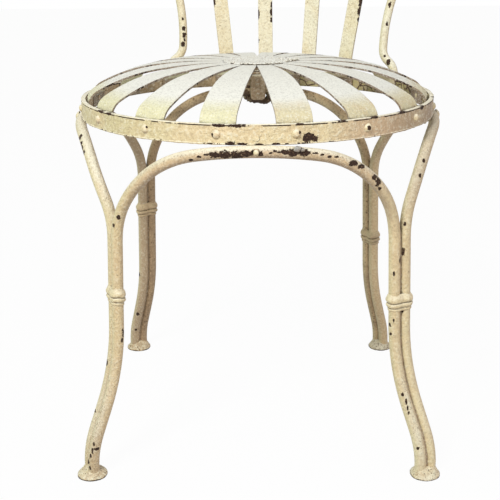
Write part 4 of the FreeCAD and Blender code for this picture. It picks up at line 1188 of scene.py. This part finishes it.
@dataclass(frozen=True)
class Hub:
    """The thin disc in the middle of the seat, lumpy with paint and weld.

    A ridge of lumps lies along its front edge: start, end and step across, and reach and rise.
    """

    radius: float = 40.0
    thickness: float = 1.5
    ridge_radius: float = 38.2
    ridge_run: tuple[float, float, float] = (-16.0, 30.0, 4.2)
    ridge_lump: tuple[float, float] = (3.4, 1.5)
    edge_fall: float = 4.5
    slit: float = 0.35
    slit_start: float = 14.0
    seed: int = 40

    def build(self, dresser: Dresser) -> None:
        """Makes the disc and the weld lumps beside it."""
        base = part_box("hub_cap")[0].z / MM
        dresser.add_piece("hub_cap_painted", [self.disc(base)], HUB_PAINT, ["hub_cap"])
        ridge = [(x, -math.sqrt(self.ridge_radius**2 - x**2), *self.ridge_lump)
                 for x in np.arange(*self.ridge_run)]
        rows = [(x, y, base + 1.0, reach, reach * 0.7, rise, x * 7.0)
                for x, y, reach, rise in ridge + HUB_WELDS]
        dresser.add_piece("hub_welds", blobs(rows, self.seed), HUB_PAINT)

    def disc(self, base: float) -> Skin:
        """A disc painted over so thickly that its edge runs out onto the petals.

        Rings of points run from the middle of the top over the edge to the middle of the
        underside. The top falls to the petals near the wandering edge, is raised by lumps, and
        sinks a little over each slit between petals.
        """
        u = angles(192)
        share, depth = rings(0.99, 40, HUB_EDGE)
        wander = 0.8 * np.sin(5 * u + 1.0) + 0.6 * np.sin(11 * u) + 0.4 * np.sin(23 * u + 2.0)
        edge = self.radius + wander
        radius = share * edge
        place = np.stack([radius * np.cos(u), radius * np.sin(u), np.zeros_like(radius)], -1)
        fall = np.clip((edge - radius) / self.edge_fall, 0.0, 1.0)
        fall = fall * fall * (3 - 2 * fall)
        slit = self.slit * np.abs(np.cos(PETAL_COUNT / 2 * u)) ** 14
        slit = slit * np.clip(radius / self.slit_start - 0.6, 0, 1)
        uneven = 0.7 * lumps(place, 10.0, self.seed) + 0.9 * lumps(place, 4.2, self.seed + 1)
        top = (self.thickness + 0.3 + uneven - slit) * fall
        place[..., 2] = base - 0.1 + np.maximum(top, 0.05) * (1 - depth)
        return closed_skin(place)


def blobs(rows: Sequence[tuple[float, ...]], seed: int) -> list[Skin]:
    """A lump for each row; the first has the seed, and each later one the next number."""
    return [blob(np.array(row[:3]), np.array(row[3:6]), row[6], seed + index)
            for index, row in enumerate(rows)]


def blob(middle: np.ndarray, radii: np.ndarray, turn: float, seed: int) -> Skin:
    """A lump of weld, paint or rust: an ellipsoid turned about the upright, swollen by lumps.

    Args:
        middle: its centre.
        radii: along, across and up.
        turn: degrees that its long side is turned.
        seed: which lumps.

    Returns:
        The closed surface.
    """
    u = angles(28)
    v = np.linspace(0.04, math.pi - 0.04, 16)[:, None]
    ball = np.stack([np.sin(v) * np.cos(u), np.sin(v) * np.sin(u), np.cos(v) + 0 * u], -1)
    swollen = ball * radii * (1 + 0.22 * lumps(ball * radii, 3.5, seed))[..., None]
    cosine, sine = math.cos(math.radians(turn)), math.sin(math.radians(turn))
    spin = np.array([[cosine, sine, 0.0], [-sine, cosine, 0.0], [0.0, 0.0, 1.0]])
    return closed_skin(middle + swollen @ spin)


@dataclass(frozen=True)
class SeatEdge:
    """Thick paint along the ring's edges, and over its rivet heads.

    The rivets at the back steps hold the back too, and keep their own heads.
    """

    bead: float = 0.85
    bead_insets: tuple[float, float] = (0.45, 0.65)
    head: float = 4.15
    head_rise: float = 2.95
    skirt: float = 4.75
    dab: float = 3.7
    dab_rise: float = 0.22
    dab_sunk: float = 0.3
    dab_height: float = 6.5
    back_steps: tuple[int, ...] = (1, 2, 14, 15)

    def build(self, dresser: Dresser) -> None:
        """Makes the beads of paint, the painted rivet heads and the dabs over plate rivets."""
        low, high = self.bead_insets
        edges = [self.edge_bead(RING_RADIUS - low, RING_BOTTOM + low, 51),
                 self.edge_bead(RING_RADIUS - high, RING_TOP - high, 52)]
        dresser.add_piece("ring_edge_paint", edges, RING_PAINT)
        pitch = 360.0 / PETAL_COUNT
        heads = [self.painted_head((step + 0.5) * pitch, 60 + step)
                 for step in range(PETAL_COUNT) if step not in self.back_steps]
        dresser.add_piece("petal_rivet_paint", heads, RIVET_PAINT)
        dabs = [self.paint_over(turn, 76 + turn) for turn in (0, 90, 180, 270)]
        dresser.add_piece("plate_rivet_paint", dabs, RING_PAINT)

    def edge_bead(self, reach: float, height: float, seed: int) -> Skin:
        """A thin rope of paint round the ring, thick and thin by turns."""
        turn = np.linspace(0.0, 360.0, 1080, endpoint=False)
        u = angles(10)
        middle = bearing(turn) * reach + UP * height
        uneven = 0.22 * lumps(middle, 8.0, seed) + 0.18 * lumps(middle, 22.0, seed + 1)
        thick = (self.bead * (1 + uneven))[:, None]
        place = (middle[:, None] + bearing(turn)[:, None] * (thick * np.cos(u))[..., None]
                 + UP * (thick * np.sin(u))[..., None])
        return closed_skin(place, wrap=True)

    def paint_over(self, turn: float, seed: int) -> Skin:
        """A thin dab of paint over a plate rivet's flush end: a very low dome."""
        share, depth = rings(1.0, 8, HEAD_EDGE)
        radius = share * self.dab * (1 + 0.04 * np.sin(3 * angles(24) + seed))
        dome = self.dab_rise * (1 - (radius / self.dab / 1.1) ** 2)
        rise = np.where(depth > 0, -self.dab_sunk, dome)
        out = bearing(turn)
        middle = out * RING_RADIUS + UP * (RING_BOTTOM + self.dab_height)
        return closed_skin(middle + upright_disc(out, radius) + out * rise[..., None])

    def painted_head(self, turn: float, seed: int) -> Skin:
        """The painted head of a seat rivet."""
        out = bearing(turn)
        middle = out * RING_RADIUS + UP * (RING_TOP + RING_BOTTOM) / 2
        return domed_head(middle, out, (self.head, self.head_rise, self.skirt), seed)


def domed_head(middle: np.ndarray, out: np.ndarray, sizes: tuple[float, float, float],
               seed: int) -> Skin:
    """A round rivet head under thick paint: half an ellipse that runs out into a low skirt.

    Args:
        middle: centre of its seat.
        out: level unit vector that it faces.
        sizes: radius of the head, its rise, and radius of the skirt.
        seed: which lumps.

    Returns:
        The closed surface, sunk a little into its seat.
    """
    head, head_rise, skirt_radius = sizes
    share, depth = rings(1.0, 22, HEAD_EDGE)
    u = angles(36)
    radius = share * skirt_radius * (1 + 0.03 * np.sin(2 * u + seed) + 0.03 * np.sin(5 * u))
    dome = head_rise * np.sqrt(np.clip(1 - (radius / head) ** 2, 0.0, 1.0))
    skirt = SKIRT_RISE * np.clip(1 - (radius / skirt_radius) ** 4, 0.0, 1.0)
    flat = upright_disc(out, radius)
    uneven = 0.16 * lumps(flat, 3.2, seed) * (radius < head + 0.15)
    rise = np.where(depth > 0, -HEAD_SUNK, np.maximum(dome, skirt) + uneven)
    return closed_skin(middle + flat + out * rise[..., None])


@dataclass(frozen=True)
class TiePlates:
    """The plates that tie the arches' crowns to the ring, and the rivets through the crowns.

    Each plate is its name, its turn from the back and the height of its lower edge.
    """

    width: float = 20.0
    corner: float = 5.5
    crown_depth: float = 11.8
    boss_heights: tuple[float, float] = (360.5, 374.0)
    plates: tuple[tuple[str, float, float], ...] = (
        ("rear", 0.0, 353.6), ("right", 90.0, 356.6), ("front", 180.0, 361.0),
        ("left", 270.0, 356.6))

    def build(self, dresser: Dresser) -> None:
        """Makes the plates, the heads on two crowns, and the rear plate's bosses and the pale ledge on its
        top, a painted highlight.
        """
        low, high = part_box("rear_plate")
        inner, outer = ((corner.y - SEAT_CENTRE.y) / MM for corner in (low, high))
        top = high.z / MM
        for index, (name, turn, bottom) in enumerate(self.plates):
            paint = PLATE_PAINT if name == "rear" else LEG_PAINT
            skin = self.plate(turn, bottom, top, inner, outer, 120 + index)
            dresser.add_piece(f"{name}_plate_painted", [skin], paint, [f"{name}_plate"])
        heads = []
        for turn, seed in ((180.0, 131), (0.0, 132)):
            out = bearing(turn)
            crown = UP * CROWN_HEIGHT
            front = out * (outer + self.crown_depth) + crown
            heads.append(domed_head(front, out, CROWN_HEAD, seed))
            heads.append(domed_head(out * inner + crown, -out, PLATE_HEAD, seed + 2))
        bosses = [domed_head(out * inner + UP * height, -out, BOSS_HEAD, 136 + index)
                  for index, height in enumerate(self.boss_heights)]
        dresser.add_piece("rear_plate_bosses", bosses, PLATE_PAINT)
        # A pale bead on the rear plate's top: a painted highlight
        highlight_ledge = blobs([(0.0, inner + 0.4, top - 1.6, 9.0, 1.6, 1.4, 0.0)], 138)
        dresser.add_piece("rear_plate_highlight_ledge", highlight_ledge, BACK_PAINT)
        dresser.add_piece("crown_rivet_heads", heads, RIVET_PAINT, ["crown_rivets"])

    def plate(self, turn: float, bottom: float, top: float, inner: float, outer: float,
              seed: int) -> Skin:
        """A thin plate with round lower corners and uneven faces.

        Its outline is a straight top and straight sides over two quarter circles. Loops of it
        run from the middle of the inner face over the edge to the middle of the outer face.
        """
        half = self.width / 2
        side_z = np.linspace(bottom + self.corner, top, 14)
        bend = np.linspace(0.0, math.pi / 2, 8)
        rise, inset = self.corner * (1 - np.sin(bend)), self.corner * (1 - np.cos(bend))
        x = np.concatenate([np.full(14, half), np.linspace(half, -half, 9)[1:-1],
                            np.full(14, -half), inset[1:] - half, half - rise[:-1]])
        z = np.concatenate([side_z, np.full(7, top), side_z[::-1],
                            bottom + rise[1:], bottom + inset[:-1]])
        outline = np.stack([x, z], 1)
        centre = np.array([0.0, (top + bottom) / 2])
        shares = np.array([0.02, 0.25, 0.5, 0.75, 0.93, 1.0, 1.0, 0.93, 0.75, 0.5, 0.25, 0.02])
        depths = np.array([0.0, 0.0, 0.0, 0.0, 0.0, 0.18, 0.82, 1.0, 1.0, 1.0, 1.0, 1.0])
        spread = centre + (outline - centre)[None] * shares[:, None, None]
        reach = inner + (outer - inner) * depths[:, None] + 0 * spread[..., 0]
        out, side = bearing(np.array([turn, turn + 90.0]))
        place = side * spread[..., :1] + UP * spread[..., 1:] + out * reach[..., None]
        uneven = 0.25 * lumps(place, 8.0, seed) * np.where(depths < 0.5, -1.0, 0.0)[:, None]
        return closed_skin(place + out * uneven[..., None])


def add_lumps(dresser: Dresser) -> None:
    """Makes the rough lump of old weld on the front arch, and the rust round the rear crown."""
    dresser.add_piece("rear_crown_rust", blobs(RUST_LUMPS, 90), CLAMP_PAINT)
    dresser.add_piece("front_arch_weld", blobs(ARCH_WELD, 81), WELD_PAINT)


LEGS = (
    Leg("rear_right", 45.0, 19.0, 246.0, 8.0, 89.0, 0.26, 1),
    Leg("front_right", 135.0, 25.0, 259.5, 20.0, 70.0, 0.16, 2),
    Leg("front_left", 225.0, 25.0, 259.5, 20.0, 61.5, 0.16, 3),
    Leg("rear_left", 315.0, 19.0, 246.0, 8.0, 48.5, 0.26, 4),
)


# Camera and studio

WHITE = (1.0, 1.0, 1.0, 1.0)
LAMP_AIM_HEIGHT = 0.38
SENSOR_WIDTH = 36.0


@dataclass(frozen=True)
class PhotoCamera:
    """The camera where the photographer's was: its place from the floor under the ring."""

    x: float = 7.03
    y: float = -1165.54
    z: float = 571.02
    pitch: float = 0.30695
    yaw: float = -0.01442
    roll: float = -0.00826
    focal_pixels: float = 1002.66

    def place(self) -> bpy.types.Object:
        """Makes the camera the scene's own.

        The view direction is turned by yaw about the upright, then down by pitch; the picture's
        right and up are then turned by roll about it.

        Returns:
            The camera object.
        """
        ahead = Vector((math.sin(self.yaw), math.cos(self.yaw), 0.0))
        right = Vector((math.cos(self.yaw), -math.sin(self.yaw), 0.0))
        upright = Vector(UP)
        view = ahead * math.cos(self.pitch) - upright * math.sin(self.pitch)
        top = upright * math.cos(self.pitch) + ahead * math.sin(self.pitch)
        rolled_right = right * math.cos(self.roll) + top * math.sin(self.roll)
        rolled_top = top * math.cos(self.roll) - right * math.sin(self.roll)
        turn = Matrix((rolled_right, rolled_top, -view)).transposed()
        lens = bpy.data.cameras.new("photo_camera")
        lens.sensor_width = SENSOR_WIDTH
        lens.lens = self.focal_pixels / IMAGE_SIDE * SENSOR_WIDTH
        lens.clip_start = 0.05
        camera = bpy.data.objects.new("photo_camera", lens)
        camera.matrix_world = Matrix.Translation(at(self.x, self.y, self.z)) @ turn.to_4x4()
        bpy.context.scene.collection.objects.link(camera)
        bpy.context.scene.camera = camera
        return camera


@dataclass(frozen=True)
class Lamp:
    """A square soft lamp, in metres from the floor under the ring, that looks at the seat."""

    name: str
    place: tuple[float, float, float]
    side: float
    power: float

    def hang(self) -> None:
        """Puts the lamp in the scene."""
        light = bpy.data.lights.new(self.name, "AREA")
        light.shape = "SQUARE"
        light.size = self.side
        light.energy = self.power
        lamp = bpy.data.objects.new(self.name, light)
        lamp.location = SEAT_CENTRE + Vector(self.place)
        aim = SEAT_CENTRE + Vector((0.0, 0.0, LAMP_AIM_HEIGHT))
        lamp.rotation_euler = (aim - lamp.location).to_track_quat("-Z", "Y").to_euler()
        bpy.context.scene.collection.objects.link(lamp)


@dataclass(frozen=True)
class Studio:
    """A white room: pale floor, even white surroundings and soft lamps."""

    floor_side: float = 14.0
    ambient: float = 0.31
    floor_tone: float = 0.8
    floor_glow: float = 0.965
    lamps: tuple[Lamp, ...] = (
        Lamp("key_lamp", (-0.75, -1.4, 1.75), 0.55, 32.5),
        Lamp("fill_lamp", (1.6, -1.2, 1.4), 1.6, 12.0),
    )

    def build(self) -> None:
        """Makes the floor, the surroundings and the lamps."""
        for lamp in self.lamps:
            lamp.hang()
        self._surroundings()
        self._floor()

    def _surroundings(self) -> None:
        """White to the camera and to reflections, and a plainer even light to the rest."""
        world = bpy.data.worlds.new("white_room")
        world.use_nodes = True
        sheet = NodeSheet(world.node_tree)
        rays = sheet.add("LightPath")
        seen = rays["Is Camera Ray"] | rays["Is Glossy Ray"] | rays["Is Transmission Ray"]
        back = sheet.add("Background", Color=WHITE, Strength=seen.ramp(0.0, 1.0, self.ambient, 1.0))
        sheet.add("OutputWorld", Surface=back["Background"])
        bpy.context.scene.world = world

    def _floor(self) -> None:
        """A pale floor that glows nearly white to the camera and keeps a little of the shadow."""
        half = self.floor_side / 2
        corners = [(-half, -half, 0.0), (half, -half, 0.0), (half, half, 0.0), (-half, half, 0.0)]
        mesh = bpy.data.meshes.new("studio_floor")
        mesh.from_pydata(corners, [], [(0, 1, 2, 3)])
        floor = bpy.data.objects.new("studio_floor", mesh)
        bpy.context.scene.collection.objects.link(floor)
        material = bpy.data.materials.new("studio_floor")
        material.use_nodes = True
        sheet = NodeSheet(material.node_tree)
        rays = sheet.add("LightPath")
        seen = rays["Is Camera Ray"] | rays["Is Glossy Ray"]
        matt = sheet.add("BsdfDiffuse", Color=(self.floor_tone,) * 3 + (1.0,))["BSDF"]
        glow = sheet.add("Emission", Color=WHITE, Strength=1.0)["Emission"]
        blend = sheet.tree.nodes.new("ShaderNodeMixShader")
        for number, value in enumerate((seen * self.floor_glow, matt, glow)):
            sheet.feed(blend, number, value)
        sheet.add("OutputMaterial", Surface=Signal(sheet, blend.outputs["Shader"]))
        mesh.materials.append(material)


def main() -> None:
    """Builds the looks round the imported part."""
    logging.basicConfig(level=logging.INFO, format="%(name)s: %(message)s")
    bpy.context.scene.view_settings.view_transform = "Standard"
    PhotoCamera().place()
    Studio().build()
    dresser = Dresser()
    dresser.dress_nodes()
    for leg in LEGS:
        leg.build(dresser)
    Hub().build(dresser)
    SeatEdge().build(dresser)
    TiePlates().build(dresser)
    add_lumps(dresser)


if __name__ == "__main__":
    main()
